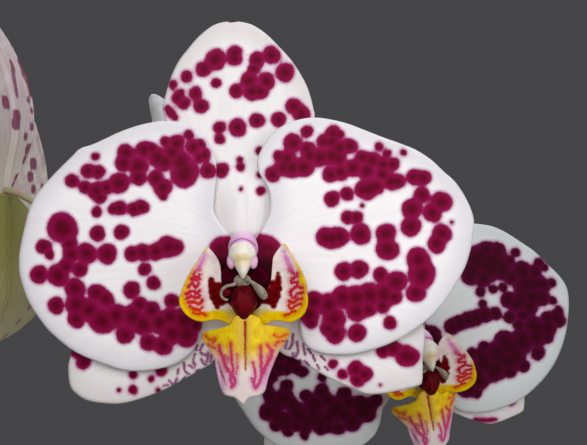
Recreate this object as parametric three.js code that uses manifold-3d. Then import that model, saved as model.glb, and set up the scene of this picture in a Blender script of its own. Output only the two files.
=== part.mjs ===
// A potted doritaenopsis orchid: clay pot, bark, short leafy stem, aerial roots and one arching
// flower spike with three open spotted blooms and two buds.
// Millimetres, +Z up. The origin is the middle of the pot's underside and the blooms face -Y.
import * as THREE from 'three';
import { mergeVertices } from 'three/addons/utils/BufferGeometryUtils.js';
import Module from 'manifold-3d';

const wasm = await Module();
wasm.setup();

// Driving dimensions of the pot and what stands in it.
const POT_HEIGHT = 116;
const POT_RIM_RADIUS = 65;
const POT_BASE_RADIUS = 45;
const POT_WALL = 6;
const RIM_BAND = 24;
const RIM_STEP = 4;
const DRAIN_RADIUS = 5;
const DRAIN_CIRCLE = 24;
const BARK_TOP = 101;
const STEM_RADIUS = 8;
const STEM_FOOT = 84;
const STEM_TOP = 146;

// Clearance between pieces that touch on the living plant.
const SEAT = 0.32;

// Driving dimensions of a bloom, 91 mm across its petals.
const TEPAL_THICKNESS = 0.9;
const SEPAL_LAYER = 2.3;
const SWEEP_BACK = 7;
const SWEEP_RADIUS = 45;
const SWEEP_POWER = 1.6;
const CUP_FORWARD = -2;
const ARCH_HEIGHT = 3.4;
const ARCH_AT = 18;
const ARCH_NOD = 4;
const SEPAL_CURL = 0.04;
const COLUMN_RADIUS = 2.9;
const COLUMN_HEIGHT = 1.5;
const COLUMN_BACK = 2.75;
const COLUMN_FRONT = -7.4;
const RECEPTACLE_BACK = COLUMN_BACK + SEAT + 0.1;

// Each tepal's claw edge and free rim, as [x, z] seen from the front with the column's tip at 0, 0.
const LEFT_PETAL = {
  claw: [[-3.4, -1.6], [-3.4, 3.8]],
  rim: [
    [-9.7, -17.7], [-13.7, -21.4], [-19.3, -23.2], [-25.4, -23.3], [-31.6, -21], [-37.8, -17.2],
    [-42.9, -11.3], [-45.7, -4.2], [-45.4, 4], [-42.7, 11.5], [-37.1, 18.2], [-30.1, 23.1],
    [-22.9, 25.7], [-16.3, 27.2], [-10.6, 25.9], [-7.1, 23], [-5.7, 19.6],
  ],
};
const RIGHT_PETAL = {
  claw: [[3.4, -1.6], [3.4, 3.8]],
  rim: [
    [12.2, -16.9], [16, -19.8], [21.6, -20.4], [27.7, -18.8], [34.3, -15.6], [40.5, -10.7],
    [44.8, -4.4], [46.9, 2.9], [45.9, 10.3], [41.8, 16], [35.4, 20.6], [28.2, 23.6],
    [21.1, 26.5], [14, 27.6], [8, 26.2], [4.3, 22.9], [2.9, 19.1],
  ],
};
const DORSAL_SEPAL = {
  claw: [[-4.2, 4.9], [4.2, 4.9]],
  rim: [
    [-15, 26.3], [-16.1, 31.5], [-14.2, 37.4], [-10.5, 43.3], [-6, 47], [-2.5, 47.4],
    [0.8, 47.7], [5.5, 44.5], [10.2, 38.9], [13.3, 32.5], [13.8, 25.8],
  ],
};
const LEFT_SEPAL = {
  claw: [[-1.6, -2], [-3.6, 0]],
  rim: [
    [-3, -14], [-5.4, -19.5], [-10.8, -24], [-18.5, -28.3], [-24.7, -30.4], [-30.7, -30.2],
    [-34.9, -28], [-36.3, -23.2], [-35.3, -17.5], [-31.5, -11.4], [-25, -7], [-17, -3.4],
  ],
};
const RIGHT_SEPAL = {
  claw: [[1.4, -2], [3.5, 0]],
  rim: [
    [3.2, -13.6], [6.2, -18.2], [11.5, -22.2], [18.1, -25.7], [23.8, -28.2], [29.4, -29],
    [35.2, -27.8], [37.2, -23.7], [36.4, -17.5], [32.5, -10.6], [26, -6.4], [17, -3],
  ],
};

// The lip: its middle lobe hangs below the column and its side lobes stand up on either side of it.
const LIP_THICKNESS = 0.9;
const MID_LOBE = {
  claw: [[-2.6, -11.4], [2.9, -11.4]],
  rim: [
    [-8.1, -15.7], [-6.9, -18.6], [-5.5, -22], [-4.6, -26], [-3.2, -28.2], [0, -29.2],
    [3.6, -28.1], [5, -25.6], [6, -21.8], [7.8, -18.2], [9.3, -15],
  ],
};
const SIDE_LOBE = {
  claw: [[1, -12.2], [2.2, -8.2]],
  rim: [
    [5, -13.6], [8.6, -13.4], [11.2, -12.8], [12.6, -11], [13, -8.6], [12.4, -5.6],
    [10.8, -1.8], [8.3, 2.2], [6.6, 0.8], [5.2, -1.6],
  ],
};

// Each bloom: where its column's tip is, how it is turned (degrees), how large it is and how it opens.
const BLOOMS = [
  { tag: 'front', at: [0, -70, 400], yaw: 0, pitch: 0, roll: 0, size: 1, opening: 'swept' },
  { tag: 'right', at: [38.8, 0, 377.5], yaw: 20, pitch: 8.6, roll: -6.2, size: 0.97, opening: 'swept' },
  { tag: 'left', at: [-62.3, 6, 410.8], yaw: -101, pitch: 0, roll: 0, size: 1, opening: 'cupped' },
];

// The flower spike's centreline from the stem to its tip, and the points where the pedicels leave it.
const SPIKE = [
  [1, 4, 106], [3, 13, 122], [8, 19, 152], [17, 25, 205], [23, 30, 262], [23, 32, 314],
  [15, 27, 355], [-6, 21, 378], [-20, 12, 394], [-25, -2, 407], [-22, -20, 415], [-24, -26, 421],
];
const SPIKE_FOOT_RADIUS = 3.1;
const SPIKE_TIP_RADIUS = 1.5;
const SPIKE_SCALES = [0.24, 0.44, 0.62];
const PEDICEL_RADIUS = 1.6;
const RECEPTACLE_RADIUS = 3.4;
const PEDICELS = {
  front: { from: [-22.6, -17.5, 414], bow: [-13, -34, 412] },
  right: { from: [15, 27, 355], bow: [33, 28, 358] },
  left: { from: [-20, 12, 394], bow: [-42, 6, 409] },
};
const BUDS = [
  { tag: 'upper', from: [-24.2, -26.5, 421.6], tip: [-17.8, -25, 435.2], radius: 3.2, share: 0.8 },
  { tag: 'lower', from: [-24.4, -11, 412], tip: [-9, -26, 424], radius: 3.7, share: 0.5 },
];

// Leaves, from the lowest to the youngest: azimuth, seat height, size, and its rise at foot and tip.
const LEAVES = [
  { tag: 'low_left', azimuth: 188, seat: 113, length: 186, width: 70, rise: 40, droop: -46 },
  { tag: 'low_right', azimuth: -9, seat: 119, length: 180, width: 74, rise: 42, droop: -38 },
  { tag: 'mid_left', azimuth: 168, seat: 126, length: 168, width: 72, rise: 54, droop: -20 },
  { tag: 'mid_right', azimuth: 14, seat: 133, length: 146, width: 66, rise: 58, droop: -8 },
  { tag: 'young', azimuth: 184, seat: 140, length: 92, width: 42, rise: 74, droop: 34 },
];
const LEAF_THICKNESS = 1.8;
const LEAF_FOOT_RISE = 84;
const LEAF_FOOT_SHARE = 0.36;
const LEAF_CLASP = 0.16;
const LEAF_WRAP = 1.4;
const LEAF_TROUGH = 0.34;
const MIDRIB_STEPS = 44;

// Aerial roots: centrelines from the stem, and radii at the stem and at the tip.
const ROOTS = [
  {
    tag: 'front', radii: [3.1, 2.4],
    path: [[0, -5, 110], [6, -18, 112], [13, -34, 114], [20, -49, 120], [26, -63, 122.5], [31, -73, 112],
      [30, -71, 90], [32, -66, 70]],
  },
  {
    tag: 'side', radii: [2.9, 2.2],
    path: [[5, -3, 108], [16, -10, 109.5], [28, -14, 110], [38, -15, 106], [44, -14, 92]],
  },
  {
    tag: 'bark', radii: [2.8, 2.2],
    path: [[-4, -4, 108], [-14, -14, 110], [-25, -22, 109], [-34, -29, 108], [-40, -27, 101],
      [-41, -20, 90]],
  },
  {
    tag: 'rear', radii: [3, 2.3],
    path: [[-4, 5, 110], [-12, 19, 111], [-21, 33, 115], [-31, 46, 120.5], [-40, 60, 122], [-47, 73, 110],
      [-48, 73, 92], [-45, 68, 78]],
  },
];

// Chips of bark standing proud of the bed.
const CHIP_COUNT = 18;
const CHIP_SIZE = [17, 11, 7];

const material = (colour, roughness) => new THREE.MeshStandardMaterial({
  color: colour, roughness, metalness: 0,
});
const MATERIALS = {
  clay: material(0xb5653f, 0.85),
  bark: material(0x5a3a24, 0.95),
  root: material(0xa9b39a, 0.7),
  leaf: material(0x3f6b2a, 0.45),
  stem: material(0x6d8a3c, 0.5),
  tepal: material(0xf3ecef, 0.55),
  lip: material(0xe8bf1c, 0.5),
  column: material(0xf4dfe9, 0.45),
  anther: material(0xf6efcf, 0.4),
  bud: material(0xcfd3b8, 0.5),
};

const radians = THREE.MathUtils.degToRad;
const lerp = THREE.MathUtils.lerp;
const vector = (point) => new THREE.Vector3(...point);
const smooth = (points) => new THREE.CatmullRomCurve3(points, false, 'catmullrom', 0.5);

// A closed mesh as a manifold-3d solid, and back again as a geometry.
function solidOf(geometry) {
  const bare = new THREE.BufferGeometry();
  bare.setAttribute('position', geometry.getAttribute('position'));
  bare.setIndex(geometry.index);
  const merged = mergeVertices(bare, 1e-3);
  return new wasm.Manifold(new wasm.Mesh({
    numProp: 3,
    vertProperties: merged.attributes.position.array,
    triVerts: new Uint32Array(merged.index.array),
  }));
}

function geometryOf(solid) {
  const { numProp, vertProperties, triVerts } = solid.getMesh();
  const positions = new Float32Array((vertProperties.length / numProp) * 3);
  for (let i = 0; i < positions.length / 3; i += 1) {
    positions.set(vertProperties.subarray(i * numProp, i * numProp + 3), i * 3);
  }
  const geometry = new THREE.BufferGeometry();
  geometry.setAttribute('position', new THREE.BufferAttribute(positions, 3));
  geometry.setIndex(new THREE.BufferAttribute(triVerts, 1));
  geometry.computeVertexNormals();
  return geometry;
}

function part(name, geometry, look) {
  const mesh = new THREE.Mesh(geometry, look);
  mesh.name = name;
  return mesh;
}

// A flat box bent onto surface(u, v, target), so that it becomes a closed sheet of that thickness.
function bentSheet(surface, alongSteps, acrossSteps, thickness) {
  const geometry = new THREE.BoxGeometry(1, 1, 1, alongSteps, acrossSteps, 1);
  const position = geometry.getAttribute('position');
  const step = 1e-3;
  const [here, along, across] = [new THREE.Vector3(), new THREE.Vector3(), new THREE.Vector3()];
  for (let i = 0; i < position.count; i += 1) {
    const u = position.getX(i) + 0.5;
    const v = position.getY(i) + 0.5;
    const [du, dv] = [u > 0.5 ? -step : step, v > 0.5 ? -step : step];
    surface(u, v, here);
    surface(u + du, v, along).sub(here).divideScalar(du);
    surface(u, v + dv, across).sub(here).divideScalar(dv);
    const normal = along.cross(across).normalize();
    here.addScaledVector(normal, position.getZ(i) * thickness);
    position.setXYZ(i, here.x, here.y, here.z);
  }
  return geometry;
}

// A capped cylinder bent along a curve, with its radius given by radius(share of the way along).
function bentTube(curve, radius, sides, steps) {
  const geometry = new THREE.CylinderGeometry(1, 1, 1, sides, steps);
  const position = geometry.getAttribute('position');
  const frames = curve.computeFrenetFrames(steps, false);
  const point = new THREE.Vector3();
  for (let i = 0; i < position.count; i += 1) {
    const share = 0.5 - position.getY(i);
    const station = Math.round(share * steps);
    const r = radius(share);
    curve.getPointAt(share, point);
    point.addScaledVector(frames.normals[station], position.getX(i) * r);
    point.addScaledVector(frames.binormals[station], position.getZ(i) * r);
    position.setXYZ(i, point.x, point.y, point.z);
  }
  return geometry;
}

// A geometry's faces turned round, for a bend that leaves them pointing inwards.
function facingOut(geometry) {
  if (solidOf(geometry).volume() > 0) return geometry;
  const index = geometry.index.array;
  for (let i = 0; i < index.length; i += 3) [index[i + 1], index[i + 2]] = [index[i + 2], index[i + 1]];
  return geometry;
}

// A blade fanned out from its claw edge to its rim, then set back by depth(x, z, u, v).
function bladeSurface(sides, depth, mirror = 1) {
  const place = ([x, z]) => new THREE.Vector3(x * mirror, 0, z);
  const [from, to] = sides.claw.map(place);
  const rim = smooth(sides.rim.map(place));
  return (u, v, target) => {
    target.lerpVectors(from, to, v).lerp(rim.getPointAt(v), u);
    target.y = depth(target.x, target.z, u, v);
    return target;
  };
}

// How far back each tepal lies: a swept bloom bends back all round, a cupped one has an arched dorsal
// sepal, and its petals and the ends of its lower sepals come forward.
const sweep = (x, z, back) => back * (Math.hypot(x, z) / SWEEP_RADIUS) ** SWEEP_POWER;
const OPENINGS = {
  swept: {
    petal: (x, z) => sweep(x, z, SWEEP_BACK),
    dorsal: (x, z) => sweep(x, z, SWEEP_BACK) + SEPAL_LAYER,
    sepal: (x, z) => sweep(x, z, SWEEP_BACK) + SEPAL_LAYER,
  },
  cupped: {
    petal: (x, z) => sweep(x, z, CUP_FORWARD),
    dorsal: (x, z) => SEPAL_LAYER + ARCH_HEIGHT * Math.exp(-(((z - ARCH_AT) / (z < ARCH_AT ? 8 : 14)) ** 2))
      - ARCH_NOD * (Math.max(0, z - ARCH_AT - 6) / 20) ** 2,
    sepal: (x, z) => SEPAL_LAYER - SEPAL_CURL * Math.max(0, -z - 20) ** 2,
  },
};

function tepal(sides, depth, acrossSteps) {
  return facingOut(bentSheet(bladeSurface(sides, depth), 6, acrossSteps, TEPAL_THICKNESS));
}

// The lip's middle lobe leans forward and is ridged, and its end turns back.
const midLobeDepth = (x, z, u) => -9.6 + 0.09 * x * x * (1 - 0.6 * u) + 3.2 * u * u;
// A side lobe is cupped, with its outer margin nearest the viewer.
const sideLobeDepth = (x, z, u, v) => -5.6 - 3.6 * u * (1 - 0.45 * v) + 2.2 * Math.sin(Math.PI * u) * v;

function lip() {
  const sheet = (sides, depth, across, mirror) =>
    solidOf(facingOut(bentSheet(bladeSurface(sides, depth, mirror), 4, across, LIP_THICKNESS)));
  const claw = new THREE.SphereGeometry(1, 8, 6).scale(3.4, 2.7, 5.6).translate(0, -4.9, -7.8);
  const stalk = bentTube(smooth([[0, -1.4, -2], [0, -3.2, -4.4], [0, -5.5, -8]].map(vector)),
    () => 1.7, 6, 3);
  const callus = new THREE.SphereGeometry(1, 8, 6).scale(2.4, 2.3, 3.8).translate(0.1, -8.3, -9.2);
  const column = new THREE.CylinderGeometry(COLUMN_RADIUS + SEAT, COLUMN_RADIUS + SEAT, 24, 16)
    .translate(0, 0, COLUMN_HEIGHT);
  const whole = [
    sheet(MID_LOBE, midLobeDepth, 6, 1),
    sheet(SIDE_LOBE, sideLobeDepth, 4, 1),
    sheet(SIDE_LOBE, sideLobeDepth, 4, -1),
    solidOf(claw),
    solidOf(facingOut(stalk)),
    solidOf(callus),
  ].reduce((sum, piece) => sum.add(piece));
  return geometryOf(whole.subtract(solidOf(column)));
}

// The column points at the viewer, swollen at its tip.
function column() {
  const length = COLUMN_BACK - COLUMN_FRONT;
  const profile = [
    [0, 0], [COLUMN_RADIUS, 0], [COLUMN_RADIUS, 0.35 * length], [COLUMN_RADIUS - 0.2, 0.6 * length],
    [COLUMN_RADIUS, 0.86 * length], [COLUMN_RADIUS - 0.6, length], [0, length],
  ].map(([r, y]) => new THREE.Vector2(r, y));
  return new THREE.LatheGeometry(profile, 14).rotateX(Math.PI)
    .translate(0, COLUMN_BACK, COLUMN_HEIGHT);
}

// The anther cap closes the column's tip and ends below in a short beak.
function antherCap() {
  const front = COLUMN_FRONT - SEAT;
  const dome = solidOf(new THREE.SphereGeometry(1, 12, 8).scale(2.4, 2.6, 2.5)
    .translate(0, front, 0.6));
  const beak = solidOf(new THREE.ConeGeometry(1.1, 3.6, 8).rotateX(Math.PI)
    .translate(0, front - 1.2, -2.2));
  const behind = solidOf(new THREE.BoxGeometry(12, 12, 16).translate(0, front + 6, 0));
  return geometryOf(dome.add(beak).subtract(behind));
}

// A bloom's own frame, carried into the part's frame.
function placement({ at, yaw, pitch, roll, size }) {
  const turn = new THREE.Euler(radians(pitch), radians(roll), radians(yaw), 'ZXY');
  return new THREE.Matrix4().compose(vector(at), new THREE.Quaternion().setFromEuler(turn),
    new THREE.Vector3(size, size, size));
}

function bloom(spec) {
  const group = new THREE.Group();
  const depths = OPENINGS[spec.opening];
  const pieces = {
    dorsal_sepal: tepal(DORSAL_SEPAL, depths.dorsal, 6),
    left_sepal: tepal(LEFT_SEPAL, depths.sepal, 8),
    right_sepal: tepal(RIGHT_SEPAL, depths.sepal, 8),
    left_petal: tepal(LEFT_PETAL, depths.petal, 10),
    right_petal: tepal(RIGHT_PETAL, depths.petal, 10),
    lip: lip(),
    column: facingOut(column()),
    anther_cap: antherCap(),
  };
  const looks = { lip: MATERIALS.lip, column: MATERIALS.column, anther_cap: MATERIALS.anther };
  for (const [name, geometry] of Object.entries(pieces)) {
    group.add(part(`${spec.tag}_${name}`, geometry, looks[name] ?? MATERIALS.tepal));
  }
  placement(spec).decompose(group.position, group.quaternion, group.scale);
  return group;
}

// The spike's radius tapers from foot to tip, and grow widens it to make a cutter.
const spikeCurve = smooth(SPIKE.map(vector));
function spikeTube(grow) {
  const radius = (share) => lerp(SPIKE_FOOT_RADIUS, SPIKE_TIP_RADIUS, share) + grow;
  return solidOf(facingOut(bentTube(spikeCurve, radius, 8, 34)));
}

// A dry scale clasps the spike at each of its lower joints.
function spikeScale(share) {
  const span = 0.035;
  const points = [0, 0.5, 1].map((t) => spikeCurve.getPointAt(share + span * t));
  return solidOf(facingOut(bentTube(smooth(points), (t) => SPIKE_FOOT_RADIUS + 1.1 - 1.6 * t, 8, 2)));
}

// The stem tapers towards its growing tip, and grow widens and lengthens it to make a cutter.
const stemRadius = (z) => STEM_RADIUS * (1 - 0.5 * ((z - STEM_FOOT) / (STEM_TOP - STEM_FOOT)) ** 2);
function stemTube(grow) {
  const profile = [[0, STEM_FOOT - grow]];
  for (let i = 0; i <= 5; i += 1) {
    const z = lerp(STEM_FOOT, STEM_TOP, i / 5);
    profile.push([stemRadius(z) + grow, z + (i === 0 ? -grow : 0) + (i === 5 ? grow : 0)]);
  }
  profile.push([0, STEM_TOP + grow]);
  const points = profile.map(([r, z]) => new THREE.Vector2(r, z));
  return solidOf(facingOut(new THREE.LatheGeometry(points, 14).rotateX(Math.PI / 2)));
}

function pedicel(spec) {
  const { from, bow } = PEDICELS[spec.tag];
  const toPart = placement(spec);
  const behind = (distance) =>
    new THREE.Vector3(0, RECEPTACLE_BACK + distance, COLUMN_HEIGHT).applyMatrix4(toPart);
  const curve = smooth([vector(from), vector(bow), behind(9), behind(3), behind(0)]);
  const radius = (share) => lerp(PEDICEL_RADIUS, RECEPTACLE_RADIUS * spec.size,
    THREE.MathUtils.smoothstep(share, 0.8, 1));
  return part(`${spec.tag}_pedicel`,
    geometryOf(solidOf(facingOut(bentTube(curve, radius, 8, 12))).subtract(spikeTube(SEAT))),
    MATERIALS.stem);
}

function bud({ tag, from, tip, radius, share }) {
  const curve = smooth([vector(from), vector(from).lerp(vector(tip), 0.5), vector(tip)]);
  const swelling = (t) => {
    const along = (t - (1 - share)) / share;
    return along <= 0 ? 1.2 : 1.2 + (radius - 1.2) * Math.sin(Math.PI * Math.min(along, 0.94)) ** 0.8;
  };
  return part(`${tag}_bud`,
    geometryOf(solidOf(facingOut(bentTube(curve, swelling, 10, 10))).subtract(spikeTube(SEAT))),
    MATERIALS.bud);
}

// A strap leaf: its foot clasps the stem, then the blade opens out along an arching midrib.
function leaf({ tag, azimuth, seat, length, width, rise, droop }) {
  const clasp = (u) => Math.max(0, 1 - u / LEAF_CLASP) ** 2;
  const heading = (u) => radians(lerp(rise, droop, u) + (LEAF_FOOT_RISE - rise) * clasp(u));
  const midrib = [[stemRadius(seat) + SEAT + LEAF_THICKNESS / 2, 0]];
  for (let i = 0; i < MIDRIB_STEPS; i += 1) {
    const [angle, step] = [heading((i + 0.5) / MIDRIB_STEPS), length / MIDRIB_STEPS];
    const [reach, lift] = midrib[i];
    midrib.push([reach + step * Math.cos(angle), lift + step * Math.sin(angle)]);
  }
  const outward = new THREE.Vector3(Math.cos(radians(azimuth)), Math.sin(radians(azimuth)), 0);
  const sideways = new THREE.Vector3(-outward.y, outward.x, 0);
  const surface = (u, v, target) => {
    const station = Math.min(MIDRIB_STEPS - 1, Math.floor(u * MIDRIB_STEPS));
    const [from, to, share] = [midrib[station], midrib[station + 1], u * MIDRIB_STEPS - station];
    const half = (width / 2) * leafOutline(u);
    const wrap = lerp(LEAF_WRAP, LEAF_TROUGH, THREE.MathUtils.smoothstep(u, 0, 0.42));
    const bend = (2 * v - 1) * wrap;
    const raise = (half / wrap) * (1 - Math.cos(bend));
    target.copy(outward).multiplyScalar(lerp(from[0], to[0], share) - raise * Math.sin(heading(u)));
    target.addScaledVector(sideways, (half / wrap) * Math.sin(bend));
    target.z = seat + lerp(from[1], to[1], share) + raise * Math.cos(heading(u));
    return target;
  };
  const blade = solidOf(facingOut(bentSheet(surface, 11, 6, LEAF_THICKNESS)));
  return part(`leaf_${tag}`, geometryOf(blade.subtract(stemTube(SEAT)).subtract(spikeTube(SEAT))),
    MATERIALS.leaf);
}

// Half-width of a leaf as a share of its widest: a clasping foot, a broad blade and a round end.
function leafOutline(u) {
  const blade = lerp(LEAF_FOOT_SHARE, 1, Math.sin((Math.PI / 2) * Math.min(1, u / 0.55)) ** 1.2);
  const end = Math.sqrt(Math.max(0, 1 - Math.max(0, (u - 0.66) / 0.345) ** 2.4));
  return blade * Math.max(0.14, end);
}

function rootTube({ path, radii }, grow) {
  const radius = (share) => (lerp(radii[0], radii[1], share) + grow) * Math.min(1, (1.06 - share) * 9);
  return solidOf(facingOut(bentTube(smooth(path.map(vector)), radius, 8, 3 * path.length)));
}

function root(spec) {
  return part(`root_${spec.tag}`, geometryOf(rootTube(spec, 0).subtract(stemTube(SEAT))), MATERIALS.root);
}

// Outer wall with its thicker rim band, then the inner wall back down to a flat floor.
function pot() {
  const band = POT_HEIGHT - RIM_BAND;
  const flare = (z) => lerp(POT_BASE_RADIUS, POT_RIM_RADIUS - RIM_STEP, z / POT_HEIGHT);
  const profile = [
    [0, 0], [POT_BASE_RADIUS - 2, 0], [POT_BASE_RADIUS, 2], [flare(band), band],
    [POT_RIM_RADIUS - 1.5, band + 1], [POT_RIM_RADIUS, POT_HEIGHT - 2], [POT_RIM_RADIUS - 2, POT_HEIGHT],
    [POT_RIM_RADIUS - RIM_STEP - 3, POT_HEIGHT], [flare(POT_HEIGHT) - POT_WALL, POT_HEIGHT - 3],
    [flare(POT_WALL) - POT_WALL, POT_WALL], [0, POT_WALL],
  ].map(([r, z]) => new THREE.Vector2(r, z));
  let solid = solidOf(facingOut(new THREE.LatheGeometry(profile, 48).rotateX(Math.PI / 2)));
  for (const angle of [90, 210, 330].map(radians)) {
    const hole = new THREE.CylinderGeometry(DRAIN_RADIUS, DRAIN_RADIUS, 4 * POT_WALL, 16)
      .rotateX(Math.PI / 2)
      .translate(DRAIN_CIRCLE * Math.cos(angle), DRAIN_CIRCLE * Math.sin(angle), POT_WALL / 2);
    solid = solid.subtract(solidOf(hole));
  }
  return part('pot', geometryOf(solid), MATERIALS.clay);
}

// The bed of bark fills the pot, with chips standing out of it round the stem.
function bark() {
  const inner = (z) => lerp(POT_BASE_RADIUS, POT_RIM_RADIUS - RIM_STEP, z / POT_HEIGHT) - POT_WALL - SEAT;
  const floor = POT_WALL + SEAT;
  const profile = [
    [0, floor], [inner(floor) - 0.2, floor], [inner(BARK_TOP) - 0.2, BARK_TOP], [0, BARK_TOP + 2],
  ].map(([r, z]) => new THREE.Vector2(r, z));
  let solid = solidOf(facingOut(new THREE.LatheGeometry(profile, 32).rotateX(Math.PI / 2)));
  const goldenTurn = radians(137.5);
  for (let i = 0; i < CHIP_COUNT; i += 1) {
    const reach = 15 + (inner(BARK_TOP) - 25) * Math.sqrt((i + 0.5) / CHIP_COUNT);
    const angle = i * goldenTurn;
    const turn = new THREE.Euler(0.3 * Math.sin(5 * i), 0.3 * Math.cos(3 * i), 2.1 * i);
    const chip = new THREE.BoxGeometry(...CHIP_SIZE)
      .applyMatrix4(new THREE.Matrix4().makeRotationFromEuler(turn))
      .translate(reach * Math.cos(angle), reach * Math.sin(angle), BARK_TOP + 0.6);
    solid = solid.add(solidOf(chip));
  }
  solid = solid.subtract(stemTube(SEAT));
  for (const spec of ROOTS) solid = solid.subtract(rootTube(spec, SEAT));
  solid = solid.subtract(spikeTube(SEAT));
  const largest = solid.decompose().sort((a, b) => b.volume() - a.volume())[0];
  return part('bark_bed', geometryOf(largest), MATERIALS.bark);
}

function spike() {
  let solid = spikeTube(0);
  for (const share of SPIKE_SCALES) solid = solid.add(spikeScale(share));
  return part('flower_spike', geometryOf(solid.subtract(stemTube(SEAT))), MATERIALS.stem);
}

const orchid = new THREE.Group();
orchid.add(pot(), bark(), part('stem', geometryOf(stemTube(0)), MATERIALS.stem), spike());
for (const spec of ROOTS) orchid.add(root(spec));
for (const spec of LEAVES) orchid.add(leaf(spec));
for (const spec of BLOOMS) orchid.add(bloom(spec), pedicel(spec));
for (const spec of BUDS) orchid.add(bud(spec));

export default orchid;
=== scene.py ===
"""Looks of a potted moth orchid: three open blooms, two buds, leaves, roots, bark and a clay pot."""

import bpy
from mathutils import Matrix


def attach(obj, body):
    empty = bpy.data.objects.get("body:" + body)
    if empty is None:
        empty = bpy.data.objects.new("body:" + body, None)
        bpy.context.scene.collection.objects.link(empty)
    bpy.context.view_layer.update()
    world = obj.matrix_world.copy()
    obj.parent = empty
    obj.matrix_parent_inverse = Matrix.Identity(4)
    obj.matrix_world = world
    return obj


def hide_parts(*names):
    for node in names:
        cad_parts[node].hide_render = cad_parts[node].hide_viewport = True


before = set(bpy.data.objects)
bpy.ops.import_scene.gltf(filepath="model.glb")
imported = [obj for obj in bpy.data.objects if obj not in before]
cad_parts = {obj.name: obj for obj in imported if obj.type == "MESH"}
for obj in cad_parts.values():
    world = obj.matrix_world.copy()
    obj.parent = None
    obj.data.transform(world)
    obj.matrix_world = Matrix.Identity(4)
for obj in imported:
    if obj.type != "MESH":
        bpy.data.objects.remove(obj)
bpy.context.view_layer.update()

import math
import random

import bmesh
import bpy
import numpy as np
from mathutils import Matrix, Vector

MM = 0.001

# Where the photograph was taken from, in mm, and the point of the front bloom's plane at its middle.
EYE = Vector((10.1, -450.0, 406.5))
EYE_TO_FRONT_BLOOM = 380.0
FRONT_BLOOM = Vector((0.0, -70.0, 400.0))
EYE_ABOVE_BLOOM = EYE.z - FRONT_BLOOM.z

# How the blooms are built, in mm.
TEPAL_THICKNESS = 0.8
SEPAL_LAYER = 2.3
SWEEP_BACK = 7.0
SWEEP_RADIUS = 45.0
SWEEP_POWER = 1.6


def lerp(a, b, share):
    return a + (b - a) * share


def smoothstep(value, low, high):
    share = np.clip((value - low) / (high - low), 0, 1)
    return share * share * (3 - 2 * share)


def hump(value, middle, width):
    return np.exp(-(((value - middle) / width) ** 2))


def closed_line(points, count):
    """Evenly spaced points on the smooth closed line through the given ones."""
    points = np.array(points, float)
    before, after, beyond = np.roll(points, 1, 0), np.roll(points, -1, 0), np.roll(points, -2, 0)
    share = np.linspace(0, 1, 12, endpoint=False)[None, :, None]
    a, b, c, d = (p[:, None, :] for p in (before, points, after, beyond))
    line = 0.5 * (2 * b + (c - a) * share + (2 * a - 5 * b + 4 * c - d) * share**2 + (3 * b - a - 3 * c + d) * share**3)
    line = line.reshape(-1, points.shape[1])
    line = np.vstack([line, line[:1]])
    return even(line, count)


def open_line(points, count):
    """Evenly spaced points on the smooth open line through the given ones."""
    points = np.array(points, float)
    padded = np.vstack([2 * points[0] - points[1], points, 2 * points[-1] - points[-2]])
    a, b, c, d = (padded[i : len(points) - 1 + i, None, :] for i in range(4))
    share = np.linspace(0, 1, 16, endpoint=False)[None, :, None]
    line = 0.5 * (2 * b + (c - a) * share + (2 * a - 5 * b + 4 * c - d) * share**2 + (3 * b - a - 3 * c + d) * share**3)
    return even(np.vstack([line.reshape(-1, points.shape[1]), points[-1:]]), count)


def even(line, count):
    """count points, the same distance apart, on a line of close points."""
    lengths = np.r_[0, np.cumsum(np.linalg.norm(np.diff(line, axis=0), axis=1))]
    wanted = np.linspace(0, lengths[-1], count)
    return np.stack([np.interp(wanted, lengths, line[:, i]) for i in range(line.shape[1])], 1)


# ---------- materials ----------


def rgb(red, claw_tone, blue):
    """A colour given in display values from 0 to 255."""
    return tuple(c / 3294.6 if c < 10.3 else ((c / 255 + 0.055) / 1.055) ** 2.4 for c in (red, claw_tone, blue)) + (1.0,)


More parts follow.
